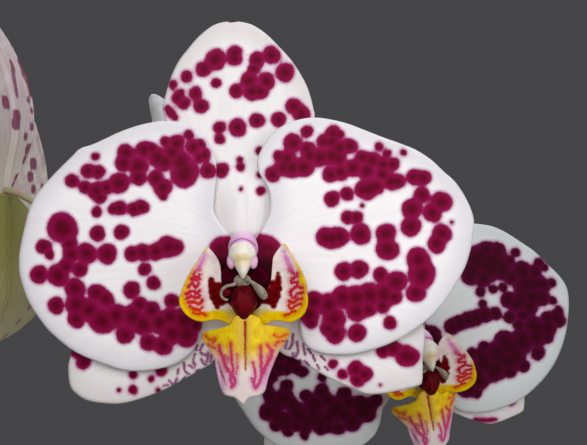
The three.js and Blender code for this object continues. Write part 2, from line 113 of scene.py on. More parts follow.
class Nodes:
    """Adds and joins the nodes of one material or node group."""

    def __init__(self, tree):
        self.tree = tree

    def add(self, kind, sockets=(), **settings):
        node = self.tree.nodes.new(kind if kind.startswith("Node") else "ShaderNode" + kind)
        for name, value in settings.items():
            setattr(node, name, value)
        for name, value in dict(sockets).items():
            self.feed(node.inputs[name], value)
        return node

    def feed(self, socket, value):
        if isinstance(value, bpy.types.NodeSocket):
            self.tree.links.new(value, socket)
        else:
            socket.default_value = value

    def blend(self, share, first, second):
        return self.add("Mix", {0: share, 6: first, 7: second}, data_type="RGBA").outputs[2]

    def ease(self, value, low, high, top=1.0):
        sockets = {"Value": value, "From Min": low, "From Max": high, "To Max": top}
        return self.add("MapRange", sockets, interpolation_type="SMOOTHSTEP").outputs["Result"]

    def math(self, operation, first, second=0.0, third=0.0):
        return self.add("Math", {0: first, 1: second, 2: third}, operation=operation).outputs[0]

    def noise(self, place, scale, detail=2.0, twist=0.0, roughness=0.5):
        sockets = {"Vector": place, "Scale": scale, "Detail": detail, "Distortion": twist, "Roughness": roughness}
        return self.add("TexNoise", sockets).outputs[0]

    def stretch(self, place, scale):
        return self.add("Mapping", {"Vector": place, "Scale": scale}).outputs[0]

    def split(self, place):
        return self.add("SeparateXYZ", {0: place}).outputs

    def value(self, name):
        return self.add("Attribute", attribute_name=name).outputs["Fac"]

    def vector(self, name):
        return self.add("Attribute", attribute_name=name).outputs["Vector"]

    def group(self, tree, sockets):
        node = self.tree.nodes.new("ShaderNodeGroup")
        node.node_tree = tree
        for name, value in sockets.items():
            self.feed(node.inputs[name], value)
        return node.outputs

    def bump(self, height, distance, strength=1.0):
        return self.add("Bump", {"Height": height, "Distance": distance, "Strength": strength}).outputs["Normal"]

    def surface(self, colour, roughness, normal=None, **more):
        sockets = {"Base Color": colour, "Roughness": roughness, **{k.replace("_", " "): v for k, v in more.items()}}
        if normal is not None:
            sockets["Normal"] = normal
        shader = self.add("BsdfPrincipled", sockets)
        self.add("OutputMaterial", {"Surface": shader.outputs[0]})


def material(name):
    made = bpy.data.materials.new(name)
    made.use_nodes = True
    made.node_tree.nodes.clear()
    return made, Nodes(made.node_tree)


def shared_effect(name, inputs, outputs):
    """An empty node group, its writer, its inner inputs, and the sockets of its output."""
    tree = bpy.data.node_groups.new(name, "ShaderNodeTree")
    for socket, kind in inputs.items():
        tree.interface.new_socket(socket, in_out="INPUT", socket_type="NodeSocket" + kind)
    for socket, kind in outputs.items():
        tree.interface.new_socket(socket, in_out="OUTPUT", socket_type="NodeSocket" + kind)
    nodes = Nodes(tree)
    return tree, nodes, nodes.add("NodeGroupInput").outputs, nodes.add("NodeGroupOutput").inputs


def spotted_skin():
    """Wine-red spots with dark middles and a softer lilac fringe, over any ground colour."""
    tree, n, given, out = shared_effect(
        "spotted_skin",
        {"Ground": "Color", "Wine": "Color", "Magenta": "Color", "Dark": "Color", "Edge": "Float", "Core": "Float",
        "Place": "Vector"},
        {"Colour": "Color", "Spots": "Float"},
    )
    coarse = n.noise(given["Place"], 0.8, 1.0)
    fine = n.noise(given["Place"], 2.6, 1.0)
    wander = n.math("MULTIPLY_ADD", coarse, 0.36, -0.18)
    wander = n.math("MULTIPLY_ADD", fine, 0.14, n.math("SUBTRACT", wander, 0.07))
    edge = n.math("ADD", given["Edge"], wander)
    fringe = n.ease(edge, -0.7, 0.1, 0.6)
    body = n.ease(edge, -0.2, 0.22)
    deep = n.math("MULTIPLY_ADD", n.noise(given["Place"], 2.5, 3.0), 0.5, n.math("SUBTRACT", given["Core"], 0.25))
    colour = n.blend(fringe, given["Ground"], rgb(178, 70, 150))
    wine = n.blend(n.ease(n.math("ADD", deep, wander), -0.4, 0.35), given["Magenta"], given["Wine"])
    colour = n.blend(body, colour, wine)
    n.feed(out["Colour"], n.blend(n.math("MULTIPLY", n.ease(deep, 0.15, 0.95), body), colour, given["Dark"]))
    n.feed(out["Spots"], body)
    return tree


def tissue_veins():
    """Fine veins that fan out from a petal's claw, and the small cells between them."""
    tree, n, given, out = shared_effect(
        "tissue_veins", {"Fan": "Vector", "Place": "Vector"}, {"Veins": "Float", "Height": "Float"}
    )
    lines = n.noise(n.stretch(given["Fan"], (9.0, 0.05, 1.0)), 1.0, 2.0, 0.25)
    veins = n.ease(lines, 0.42, 0.62)
    cells = n.noise(given["Place"], 4.0, 2.0)
    n.feed(out["Veins"], veins)
    n.feed(out["Height"], n.math("MULTIPLY_ADD", veins, 0.5, n.math("MULTIPLY", cells, 0.35)))
    return tree


def fine_grain():
    """Soft clouds with a fine grain in them."""
    tree, n, given, out = shared_effect(
        "fine_grain", {"Place": "Vector", "Scale": "Float"}, {"Clouds": "Float", "Grain": "Float"}
    )
    n.feed(out["Clouds"], n.noise(given["Place"], given["Scale"], 3.0))
    n.feed(out["Grain"], n.noise(given["Place"], n.math("MULTIPLY", given["Scale"], 9.0), 4.0))
    return tree


SPOTS = spotted_skin()
VEINS = tissue_veins()
GRAIN = fine_grain()


FRESH_WINE = {"Magenta": rgb(166, 26, 108), "Wine": rgb(134, 6, 62), "Dark": rgb(92, 0, 28)}
# Spot tones of the right bloom, darker as painted shade, as that bloom lies behind the front one.
SHADED_WINE = {"Magenta": rgb(122, 12, 92), "Wine": rgb(80, 0, 40), "Dark": rgb(56, 0, 20)}


def tepal_front(name, pale, margin_shade, wine=FRESH_WINE):
    made, n = material(name)
    own, edge = n.vector("own"), n.value("margin")
    veins = n.group(VEINS, {"Fan": n.vector("fan"), "Place": own})
    # Painted shade: the ground turns to a greyer tone toward the margins, where the tepal turns away from the light.
    ground = n.blend(n.ease(edge, 6.0, 0.2, 0.7), pale, margin_shade)
    ground = n.blend(n.math("MULTIPLY", veins["Veins"], 0.09), ground, rgb(206, 200, 210))
    skin = n.group(
        SPOTS, {"Ground": ground, "Edge": n.value("spot_edge"), "Core": n.value("spot_core"), "Place": own, **wine}
    )
    stroke = n.math("MULTIPLY_ADD", n.noise(own, 2.4, 1.0), 0.36, n.math("SUBTRACT", n.value("stroke"), 0.18))
    height = n.split(own)[2]
    # Painted shade: spots low on the tepal near the column turn near black, for the shade of the throat.
    shade = n.math("MULTIPLY", n.ease(height, 1.5, -2.5), n.ease(n.value("reach"), 10.0, 7.0))
    colour = n.blend(n.math("MULTIPLY", shade, skin["Spots"]), skin["Colour"], rgb(50, 0, 14))
    colour = n.blend(n.ease(stroke, -0.28, 0.06, 0.95), colour, rgb(140, 34, 112))
    n.surface(
        colour, 0.6, n.bump(veins["Height"], 0.0001, 0.3),
        Subsurface_Weight=0.05, Subsurface_Radius=(0.0006, 0.0004, 0.0004), Subsurface_Scale=1.0,
        Specular_IOR_Level=0.06,
    )
    return made


def tepal_back(name, pale, claw_tone, claw_tone_from, show):
    """The back of a petal: the spots show through it faintly and toward the claw it takes another tone, which on the
    dorsal sepal is partly painted light.
    """
    made, n = material(name)
    own, edge = n.vector("own"), n.value("margin")
    veins = n.group(VEINS, {"Fan": n.vector("fan"), "Place": own})
    skin = n.group(
        SPOTS, {"Ground": pale, "Edge": n.value("spot_edge"), "Core": n.value("spot_core"), "Place": own, **FRESH_WINE}
    )
    colour = n.blend(n.math("ADD", n.ease(edge, 4.0, 1.0, 0.2), show), pale, skin["Colour"])
    colour = n.blend(n.math("MULTIPLY", veins["Veins"], 0.16), colour, rgb(176, 150, 170))
    # Toward the claw the back takes the claw tone; on the dorsal sepal that tone is pale tissue, lightened as painted
    # light.
    colour = n.blend(n.ease(n.value("reach"), claw_tone_from, 6.0, 0.85), colour, claw_tone)
    marks = n.math("MULTIPLY_ADD", n.noise(own, 1.6, 2.0), 0.7, n.math("SUBTRACT", n.value("back_edge"), 0.35))
    tone = n.blend(n.ease(n.noise(own, 0.5), 0.4, 0.6), rgb(132, 44, 104), rgb(128, 16, 56))
    colour = n.blend(n.ease(marks, -0.5, 0.2, 0.9), colour, tone)
    n.surface(
        colour, 0.5, n.bump(veins["Height"], 0.0003, 0.6), Subsurface_Weight=0.08,
        Subsurface_Radius=(0.001, 0.001, 0.001)
    )
    return made


def lip_paint(n, ground, stroke_tones):
    """Strokes over a ground colour; the tones are those of the top, the middle and the foot of the lobe."""
    own = n.vector("own")
    height = n.split(own)[2]
    top, middle, foot, heights = stroke_tones
    tone = n.blend(n.ease(height, heights[1], heights[0]), middle, top)
    tone = n.blend(n.ease(height, heights[2], heights[3]), tone, foot)
    ragged = n.math("MULTIPLY_ADD", n.noise(own, 1.8, 1.0), 0.5, n.math("SUBTRACT", n.value("stroke"), 0.2))
    halo = n.blend(n.ease(ragged, -0.9, 0.0, 0.5), ground, tone)
    return n.blend(n.ease(ragged, -0.18, 0.12), halo, tone)


def lobe_skin():
    """Side lobe of the lip: yellow margin, a band of red strokes, a cream middle and a maroon flame by the throat."""
    made, n = material("lip_side_lobe")
    own = n.vector("own")
    cream = n.blend(n.ease(n.noise(own, 0.5), 0.35, 0.65), rgb(236, 222, 212), rgb(222, 202, 200))
    yellow = n.blend(n.ease(n.noise(own, 0.7), 0.35, 0.65), rgb(226, 190, 6), rgb(214, 170, 4))
    soft = n.math("MULTIPLY_ADD", n.noise(own, 1.2), 0.5, n.math("SUBTRACT", n.value("yellow"), 0.25))
    colour = n.blend(n.value("base"), cream, rgb(206, 182, 84))
    colour = n.blend(n.ease(soft, -0.5, 0.3), colour, yellow)
    tones = (rgb(214, 132, 190), rgb(180, 24, 58), rgb(192, 42, 12), (-1.0, -4.0, -7.0, -10.0))
    colour = lip_paint(n, colour, tones)
    flame = n.math("MULTIPLY_ADD", n.noise(own, 1.6), 0.35, n.value("spot_edge"))
    colour = n.blend(n.ease(flame, -0.25, 0.2), colour, n.blend(n.ease(flame, 0.1, 1.1), rgb(112, 2, 8), rgb(74, 0, 2)))
    n.surface(colour, 0.45, n.bump(n.noise(own, 2.5), 0.0002, 0.4), Specular_IOR_Level=0.01)
    return made


def middle_lobe_skin():
    """Middle lobe: yellow shoulders and throat, pale pink end, red centre line, a painted shadow line by a fold, and
    strokes.
    """
    made, n = material("lip_middle_lobe")
    own = n.vector("own")
    side, _, height = n.split(own)
    wander = n.math("MULTIPLY_ADD", n.noise(own, 0.7), 2.4, -1.2)
    out = n.math("ABSOLUTE", n.math("SUBTRACT", side, 0.4))
    pale = n.blend(n.ease(out, 2.6, 4.6), rgb(232, 216, 214), rgb(214, 168, 202))
    yellow = n.blend(n.ease(n.noise(own, 0.6), 0.35, 0.65), rgb(240, 208, 8), rgb(226, 182, 8))
    golden = n.blend(n.ease(out, 2.4, 0.4), yellow, rgb(216, 176, 60))
    reach = n.math("ADD", n.math("ADD", height, wander), n.math("MULTIPLY", out, -0.35))
    colour = n.blend(n.ease(reach, -24.0, -18.5), pale, golden)
    tones = (rgb(212, 72, 14), rgb(194, 50, 92), rgb(196, 58, 122), (-15.8, -19.5, -21.0, -24.0))
    colour = lip_paint(n, colour, tones)
    # The red centre line, and beside the left fold a thin painted shadow line in the same red.
    line = n.math("MULTIPLY_ADD", n.noise(own, 2.0), 0.4, n.math("SUBTRACT", n.value("spot_edge"), 0.2))
    colour = n.blend(n.ease(line, -0.15, 0.15), colour, rgb(164, 22, 18))
    n.surface(colour, 0.42, n.bump(n.noise(own, 2.0), 0.0002, 0.4), Specular_IOR_Level=0.25)
    return made


def mottled(name, first, second, scale, roughness, depth=0.0003, **more):
    """Two tones in soft clouds, with a fine grain in the surface, fixed to the bloom that it belongs to."""
    made, n = material(name)
    grain = n.group(GRAIN, {"Place": n.vector("own"), "Scale": scale})
    colour = n.blend(n.ease(grain["Clouds"], 0.35, 0.65), first, second)
    n.surface(colour, roughness, n.bump(grain["Grain"], depth, 0.5), **more)
    return made


def cap_skin():
    made, n = material("anther_cap")
    own = n.vector("own")
    side, _, height = n.split(own)
    low = n.math(
        "MULTIPLY", n.ease(n.math("ABSOLUTE", n.math("ADD", height, 0.7)), 1.9, 0.2),
        n.ease(n.math("ABSOLUTE", side), 2.3, 0.6)
    )
    colour = n.blend(n.ease(n.noise(own, 0.8), 0.35, 0.65), rgb(236, 232, 222), rgb(224, 214, 198))
    colour = n.blend(n.math("MULTIPLY", low, 0.65), colour, rgb(226, 194, 112))
    colour = n.blend(n.ease(height, -2.4, -4.4, 0.6), colour, rgb(168, 160, 140))
    n.surface(
        colour, 0.35, n.bump(n.noise(own, 3.0), 0.0002, 0.3), Subsurface_Weight=0.15,
        Subsurface_Radius=(0.001, 0.001, 0.0008)
    )
    return made


def hood_skin():
    made, n = material("column")
    own = n.vector("own")
    height = n.split(own)[2]
    wander = n.math("MULTIPLY_ADD", n.noise(own, 1.2), 1.0, -0.5)
    raised = n.math("ADD", height, wander)
    colour = n.blend(n.ease(raised, 3.2, 5.0), rgb(224, 170, 216), rgb(242, 214, 238))
    colour = n.blend(n.ease(raised, 0.4, -0.8), colour, rgb(234, 182, 216))
    colour = n.blend(n.ease(n.value("stroke"), -0.15, 0.1, 0.9), colour, rgb(132, 14, 64))
    n.surface(colour, 0.45, n.bump(n.noise(own, 2.5), 0.0002, 0.4), Specular_IOR_Level=0.25)
    return made


# The second colour of each tepal front is painted shade at its margins.
PETAL_FRONT = tepal_front("petal_front", rgb(247, 243, 245), rgb(216, 213, 220))
SEPAL_FRONT = tepal_front("sepal_front", rgb(238, 234, 234), rgb(214, 206, 206))
# A greyer, darker copy of the petal front: painted shade for the right bloom, farther from the light and behind the
# front bloom.
PETAL_FRONT_SHADED = tepal_front("petal_front_shaded", rgb(216, 221, 221), rgb(196, 202, 204), SHADED_WINE)
PETAL_BACK = tepal_back("petal_back", rgb(230, 221, 216), rgb(226, 220, 200), 20.0, 0.16)
# Toward its claw the dorsal sepal's back is paler, lightened further as painted light on the base that the cupped bloom
# shades.
DORSAL_BACK = tepal_back("dorsal_sepal_back", rgb(214, 200, 202), rgb(238, 228, 214), 24.0, 0.12)
SEPAL_BACK = tepal_back("lateral_sepal_back", rgb(170, 162, 116), rgb(146, 144, 68), 36.0, 0.1)
LOBE = lobe_skin()
MIDDLE_LOBE = middle_lobe_skin()
# The throat is dark maroon, darkened further as painted shade of the hollow behind the lip's lobes.
THROAT_AND_SHADE = mottled("lip_throat", rgb(44, 0, 12), rgb(70, 0, 24), 0.8, 0.7, Specular_IOR_Level=0.01)
CALLUS = mottled("lip_callus", rgb(104, 0, 14), rgb(66, 0, 6), 0.7, 0.35, 0.0002, Specular_IOR_Level=0.06)
HORNS = mottled("lip_horns", rgb(128, 118, 98), rgb(156, 146, 130), 1.2, 0.5, Specular_IOR_Level=0.3)
CAP = cap_skin()
HOOD = hood_skin()
STALK = mottled("flower_stalk", rgb(142, 146, 98), rgb(154, 128, 110), 0.25, 0.45)
BUD = mottled("bud", rgb(190, 192, 204), rgb(178, 180, 176), 0.5, 0.45)


# ---------- shapes ----------


def sheet(columns, rows, place, toward=None):
    """A sheet of faces put in place by place(u, v), with u and v from 0 to 1; an open one faces toward."""
    shape = bmesh.new()
    bmesh.ops.create_grid(shape, x_segments=columns, y_segments=rows, size=0.5)
    flat = np.array([v.co[:2] for v in shape.verts]) + 0.5
    for vert, spot in zip(shape.verts, place(flat[:, 0], flat[:, 1])):
        vert.co = spot
    bmesh.ops.remove_doubles(shape, verts=shape.verts, dist=0.002)
    if toward is None:
        bmesh.ops.recalc_face_normals(shape, faces=shape.faces)
    else:
        shape.normal_update()
        lean = sum((f.normal * f.calc_area() for f in shape.faces), Vector())
        if lean.dot(Vector(toward)) < 0:
            bmesh.ops.reverse_faces(shape, faces=shape.faces)
    return shape


def blade(outline, middle, columns, rows, depth):
    """A leaf-like sheet, widest round its middle, whose outline is a closed line of (x, z) in mm."""
    rim = closed_line(outline, columns + 1)
    middle = np.array(middle)

    def place(u, v):
        share = np.stack([np.interp(u, np.linspace(0, 1, columns + 1), rim[:, i]) for i in (0, 1)], 1)
        flat = middle + (share - middle) * v[:, None]
        y = depth(flat[:, 0], flat[:, 1]) + 0.3 * smoothstep(v, 0.965, 1.0)
        return np.stack([flat[:, 0], y, flat[:, 1]], 1)

    return sheet(columns, rows, place, toward=(0, -1, 0)), rim


def tube(path, radius, sides, steps):
    """A round tube along the smooth line through path; radius(share of the way) is in mm."""
    line = open_line(path, steps + 1)
    ahead = np.gradient(line, axis=0)
    ahead /= np.linalg.norm(ahead, axis=1)[:, None]
    across = np.empty_like(ahead)
    guide = np.array(Vector(ahead[0]).orthogonal().normalized())
    for i, direction in enumerate(ahead):
        guide = guide - direction * guide.dot(direction)
        guide /= np.linalg.norm(guide)
        across[i] = guide
    over = np.cross(ahead, across)

    def place(u, v):
        station = np.rint(v * steps).astype(int)
        turn = u * 2 * math.pi
        out = across[station] * np.cos(turn)[:, None] + over[station] * np.sin(turn)[:, None]
        return line[station] + out * radius(v)[:, None]

    return sheet(sides, steps, place)


def ball(middle, radii, rings=14):
    shape = bmesh.new()
    bmesh.ops.create_uvsphere(shape, u_segments=2 * rings, v_segments=rings, radius=1.0)
    bmesh.ops.scale(shape, vec=radii, verts=shape.verts)
    bmesh.ops.translate(shape, vec=middle, verts=shape.verts)
    return shape


def spot_field(x, z, spots, merge=4.0):
    """How far inside a spot each place lies, in mm, and how near to the middle of one, from 1 down."""
    if not len(spots):
        return np.full(len(x), -9.0), np.full(len(x), -9.0)
    table = np.array(spots, float)
    dx, dz = x[:, None] - table[None, :, 0], z[:, None] - table[None, :, 1]
    away = np.hypot(dx, dz)
    phase = 2.4 * np.arange(len(table))[None, :]
    turn = np.arctan2(dz, dx)
    radius = table[None, :, 2] * (1 + 0.04 * np.sin(2 * turn + phase) + 0.025 * np.sin(3 * turn + phase))
    inside = radius - away
    edge = np.log(np.exp(np.clip(merge * inside, -60, 60)).sum(1) + 1e-26) / merge
    return edge, (1 - away / radius).max(1)


def along(points, radius, step=0.4):
    """Small spots in a row, which make a streak."""
    line = open_line(points, max(3, int(np.linalg.norm(np.diff(points, axis=0), axis=1).sum() / step)))
    return [(x, z, radius) for x, z in line]


def piece(name, shape, skins, node, pose=None, thickness=0.0, fields=None, rim_skin=0):
    """Makes an object of shape, in mm of its own bloom, puts it in place and ties it to the frame."""
    mesh = bpy.data.meshes.new(name)
    shape.to_mesh(mesh)
    shape.free()
    own = np.empty(len(mesh.vertices) * 3)
    mesh.vertices.foreach_get("co", own)
    own = own.reshape(-1, 3)
    turn = np.array(pose or Matrix.Identity(4))
    world = own @ turn[:3, :3].T + turn[:3, 3]
    near = EYE_TO_FRONT_BLOOM / (world[:, 1] - EYE.y)
    seen = np.stack([EYE.x + (world[:, 0] - EYE.x) * near, EYE_ABOVE_BLOOM + (world[:, 2] - EYE.z) * near], 1)
    values = {"own": own, **(fields(own, seen) if fields else {})}
    for field, numbers in values.items():
        kind = "FLOAT_VECTOR" if numbers.ndim == 2 else "FLOAT"
        stored = mesh.attributes.new(field, kind, "POINT")
        stored.data.foreach_set("vector" if numbers.ndim == 2 else "value", numbers.ravel())
    mesh.vertices.foreach_set("co", (world * MM).ravel())
    mesh.update()
    mesh.shade_smooth()
    made = bpy.data.objects.new(name, mesh)
    bpy.context.scene.collection.objects.link(made)
    for skin in skins:
        mesh.materials.append(skin)
    if thickness:
        thick = made.modifiers.new("thickness", "SOLIDIFY")
        thick.thickness = thickness * MM
        thick.offset = -1.0
        thick.material_offset = len(skins) - 1
        thick.material_offset_rim = rim_skin
    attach(made, "root")
    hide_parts(node)
    return made


def joined(*shapes):
    """Several shapes as one."""
    whole = shapes[0]
    for shape in shapes[1:]:
        spare = bpy.data.meshes.new("spare")
        shape.to_mesh(spare)
        shape.free()
        whole.from_mesh(spare)
        bpy.data.meshes.remove(spare)
    return whole


# ---------- blooms ----------


def sweep(x, z):
    """How far a bloom sweeps back at a distance from its middle."""
    return SWEEP_BACK * (np.hypot(x, z) / SWEEP_RADIUS) ** SWEEP_POWER


def petal_depth(x, z):
    return sweep(x, z) + 0.28 * np.sin(np.abs(x) / 6.5 + z / 11 + 1)


def sepal_depth(x, z):
    return sweep(x, z) + SEPAL_LAYER


def dorsal_depth(x, z):
    """The dorsal sepal's foot stands forward between the petals like the back of a spoon, with a faint groove."""
    foot = smoothstep(z, 2.0, 5.0) * smoothstep(-z, -19.0, -11.0)
    return sepal_depth(x, z) - foot * (1.9 * hump(x, 0, 4.6) - 0.35 * hump(x, 0, 0.8))


def cupped_petal_depth(x, z):
    return -2 * (np.hypot(x, z) / SWEEP_RADIUS) ** SWEEP_POWER + 0.28 * np.sin(np.abs(x) / 6.5 + z / 11 + 1)


def arched_dorsal_depth(x, z):
    """An arched dorsal sepal bulges back above its foot and nods forward at its end."""
    arch = 2.2 * np.exp(-(((z - 18) / np.where(z < 18, 8, 14)) ** 2))
    return SEPAL_LAYER + arch - 4.4 * (np.maximum(0, z - 22) / 20) ** 2 + 0.3 * hump(x, -3, 1.2) - 0.3 * hump(x, 0, 1.5)


def curled_sepal_depth(x, z):
    """The ends of the lower sepals curl forward, and the right one's inner edge lies behind the left one's."""
    return SEPAL_LAYER - 0.04 * np.maximum(0, -z - 20) ** 2 + 1.1 * smoothstep(-x, -7, -1) * (np.mean(x) > 0)


SWEPT = {"petal": petal_depth, "dorsal": dorsal_depth, "sepal": sepal_depth}
CUPPED = {"petal": cupped_petal_depth, "dorsal": arched_dorsal_depth, "sepal": curled_sepal_depth}


def unprojected(points, depth):
    """Outline points read in the photograph, moved to where they lie on a surface behind or before its plane."""
    moved = []
    for x, z in points:
        far_x, far_z = x, z
        for _ in range(3):
            scale = 1 + float(depth(np.array([far_x]), np.array([far_z]))[0]) / EYE_TO_FRONT_BLOOM
            far_x = EYE.x + (x - EYE.x) * scale
            far_z = EYE_ABOVE_BLOOM + (z - EYE_ABOVE_BLOOM) * scale
        moved.append((far_x, far_z))
    return moved


# Outlines of the front bloom as the photograph shows them, in mm from its middle, closed behind their neighbours.
LEFT_PETAL = [
    (-2.6, 3.6), (-4.9, 6.8), (-5.9, 9), (-5.7, 12.2), (-5.4, 15.4), (-5.4, 18.3), (-6.2, 21.2), (-8.7, 24.7),
    (-12.1, 26.4), (-16, 26.8), (-18.5, 26.5), (-21.4, 25.8), (-25, 24.5), (-29.7, 22.3), (-32.6, 21.3),
    (-34.4, 19.6), (-38, 16), (-40.8, 12.8), (-42.3, 10.3), (-43.3, 7.4), (-44.6, 1.6), (-44.9, -1.6),
    (-44.6, -4.5), (-43, -9.2), (-40.5, -13.1), (-38.3, -15.7), (-33.6, -19.4), (-27.2, -22.1), (-23.6, -23.1),
    (-20, -23.2), (-16.4, -22.7), (-13.5, -21.8), (-11.3, -20.3), (-9.9, -18.9), (-8.8, -16.7), (-8.4, -14.9),
    (-7, -10), (-4.6, -6), (-1.9, -1.9), (-1.7, 1.2),
]
RIGHT_PETAL = [
    (2.6, 3.2), (4.1, 5.7), (5.2, 8.1), (5.4, 10.6), (5, 13.3), (4, 15.1), (3.1, 16.8), (2.8, 18.9), (3.6, 21),
    (5, 23.4), (6.7, 25), (8.8, 26.3), (11.6, 27.2), (14.4, 27.5), (17.1, 27.2), (20.6, 26.4), (24.1, 25.1),
    (27.9, 23.6), (31, 22.5), (34.5, 21.1), (37.6, 19.1), (40.3, 16.6), (42.4, 14.7), (44.2, 12.1), (45.5, 9.5),
    (46.2, 7.1), (46.1, 4.3), (45.5, 0.9), (44.5, -2.3), (43.1, -5), (41.4, -7.8), (39.3, -10.6), (36.9, -13),
    (34.1, -15.1), (31.3, -16.8), (28.2, -18.2), (24.7, -19.3), (21.3, -19.9), (17.8, -19.9), (15, -19.4),
    (13, -18.4), (11.9, -16.8), (11.4, -14.7), (11.2, -12), (8.8, -8.6), (5.4, -5.2), (1.9, -1.9), (1.7, 1.2),
]
DORSAL_SEPAL = [
    (-3.3, 46.7), (-2.2, 46.4), (-1.1, 46.75), (1.8, 46.1), (4.7, 44.2), (7.3, 41.6), (9.8, 38.8), (12.1, 35.2),
    (13.3, 32.4), (14.1, 29.2), (14.3, 27.5), (12.8, 22.5), (10.4, 16.5), (8, 10.5), (5.6, 6.2), (4.0, 3.0),
    (0, 1.8), (-4.0, 3.0), (-5.6, 6.2), (-8, 10.5), (-10.8, 16.5), (-13.4, 22.5), (-15.6, 27), (-16.1, 29.8),
    (-15.6, 31.7), (-15.1, 33.6), (-14.2, 36.2), (-12.9, 38.8), (-11, 41.3), (-8.7, 43.9), (-5.9, 46),
]
LEFT_SEPAL = [
    (-34.4, -19.5), (-35, -22.4), (-34.7, -25.9), (-33.6, -27.6), (-31.2, -29.1), (-27.7, -29.7), (-24.3, -29.7),
    (-20.3, -28.7), (-15.9, -27), (-11.9, -24.9), (-9, -23.2), (-6, -21.2), (-3.4, -16), (-1.8, -9),
    (-1.2, -3.5), (-2.6, -0.6), (-5.5, -1.2), (-12, -2.6), (-20, -5), (-27, -8.2), (-32.5, -12.5), (-34.2, -16),
]
RIGHT_SEPAL = [
    (36.4, -17), (36, -20.5), (35.9, -25.1), (35, -26.2), (31.5, -27.1), (27.5, -27.8), (24.6, -27.8),
    (21.6, -26.6), (17.7, -24.9), (14.2, -22.9), (10.8, -20.9), (7.5, -19.4), (4.4, -15), (2.4, -9),
    (1.4, -3.5), (2.6, -0.6), (5.5, -1.2), (12, -2.4), (20, -4.5), (28, -7.5), (33.5, -11), (36, -14),
]
LEFT_LOBE = [
    (-7.2, 1.6), (-8.3, 0.1), (-10.3, -2.9), (-11.5, -5.2), (-12.4, -7.5), (-12.8, -9.2), (-12.2, -11),
    (-11, -12.3), (-9.3, -13.2), (-7.5, -13.3), (-5.2, -13), (-3.7, -13.5), (-2.4, -13.9), (-0.9, -13.2),
    (-0.9, -11.6), (-2.4, -10.2), (-3.3, -8), (-4.2, -5.4), (-4.4, -3.2), (-4.6, -1.9), (-5.3, -0.4), (-6.6, 1.2),
]
RIGHT_LOBE = [
    (8.3, 2.3), (9.5, 0.6), (11.2, -2.2), (12.4, -5.2), (12.9, -7.7), (13, -9.7), (12.4, -11.5), (11, -12.9),
    (9.2, -13.5), (7.4, -13.2), (5.7, -13.3), (4.2, -13.9), (1.9, -13.2), (1.9, -11.6), (3.4, -10.2), (4.4, -8),
    (5.5, -5.2), (5.8, -2.2), (6.05, -0.4), (7.2, 1.4),
]
MID_LOBE = [
    (-2.8, -14), (-5.7, -14.9), (-7.7, -15.4), (-8.25, -16.1), (-7.9, -17.3), (-7, -18.6), (-5.8, -20.6),
    (-5.5, -22.4), (-5, -24.9), (-4.5, -26.7), (-3.7, -28), (-1.9, -28.5), (-0.9, -29.2), (0.1, -30),
    (1.1, -28.7), (3.1, -28.2), (4.4, -27.2), (5, -24.9), (5.9, -22.4), (7.2, -19.4), (8.5, -17.3), (9.5, -15.6),
    (8.8, -14.7), (7.2, -14.3), (4.2, -13.9), (3, -12.4), (0.3, -11.6), (-1.8, -12.4),
]
# The left bloom's dorsal sepal is broader at its foot, and its lower sepals are broader toward each other.
CUPPED_LEFT_SEPAL = [
    (-34.2, -14.5), (-35, -18), (-34.5, -22), (-33.2, -24.6), (-31, -26.2), (-27, -28.6), (-22, -31.2), (-15.5, -32.6),
    (-9.5, -32), (-4.8, -28.6), (-2.2, -23), (-1.5, -16), (-1.2, -9), (-0.9, -3.5), (-1.0, 0.6), (-3, 2.4), (-7, 2.6),
    (-12, 1.4), (-20, -1.8), (-27, -6.2), (-32, -10.8),
]
ARCHED_DORSAL = [
    (-3.3, 46.7), (-2.2, 46.4), (-1.1, 46.75), (1.8, 46.1), (4.7, 44.2), (7.3, 41.6), (9.8, 38.8), (12.1, 35.2),
    (13.8, 31.4), (14.8, 27.2), (14.9, 23.5), (14.4, 18.5), (13.2, 13.5), (11, 9.5), (7.6, 6.2), (4.0, 3.0),
    (0, 1.8), (-4.0, 3.0), (-7.6, 6.2), (-11, 9.5), (-13.4, 13.5), (-15, 18.5), (-15.9, 24), (-16.1, 29.8),
    (-15.6, 31.7), (-15.1, 33.6), (-14.2, 36.2), (-12.9, 38.8), (-11, 41.3), (-8.7, 43.9), (-5.9, 46),
]
# The right bloom's own right petal, in mm from the middle of that bloom.
RIGHT_BLOOM_RIGHT_PETAL = [
    (3.2, 3.4), (3.4, 9), (3, 17), (5, 23.4), (9.5, 27), (14, 28), (18.8, 27.4), (23.8, 26.2), (27.7, 24.3),
    (32.2, 21.2), (36.6, 17.9), (39.8, 14.6), (43.3, 11.2), (45.8, 7.7), (46.5, 4.2), (46.2, 0), (45.2, -4.8),
    (42.9, -9.7), (39.2, -14), (34.6, -17.3), (30.2, -19.5), (24.5, -20.8), (19.5, -20.9), (14, -19.7),
    (10.6, -17.4), (8.9, -14.4), (7, -9), (5, -5), (1.9, -1.9), (1.7, 1.2),
]
# Its left petal hangs lower than the front bloom's, and its left sepal is narrower toward the lip.
RIGHT_BLOOM_LEFT_PETAL = [(x, z - 2.6 * float(smoothstep(-z, 8, 20))) for x, z in LEFT_PETAL]
RIGHT_BLOOM_LEFT_SEPAL = [(0.9 * x - 4.5 * float(smoothstep(-z, 6, 20)), 0.93 * z) for x, z in LEFT_SEPAL]

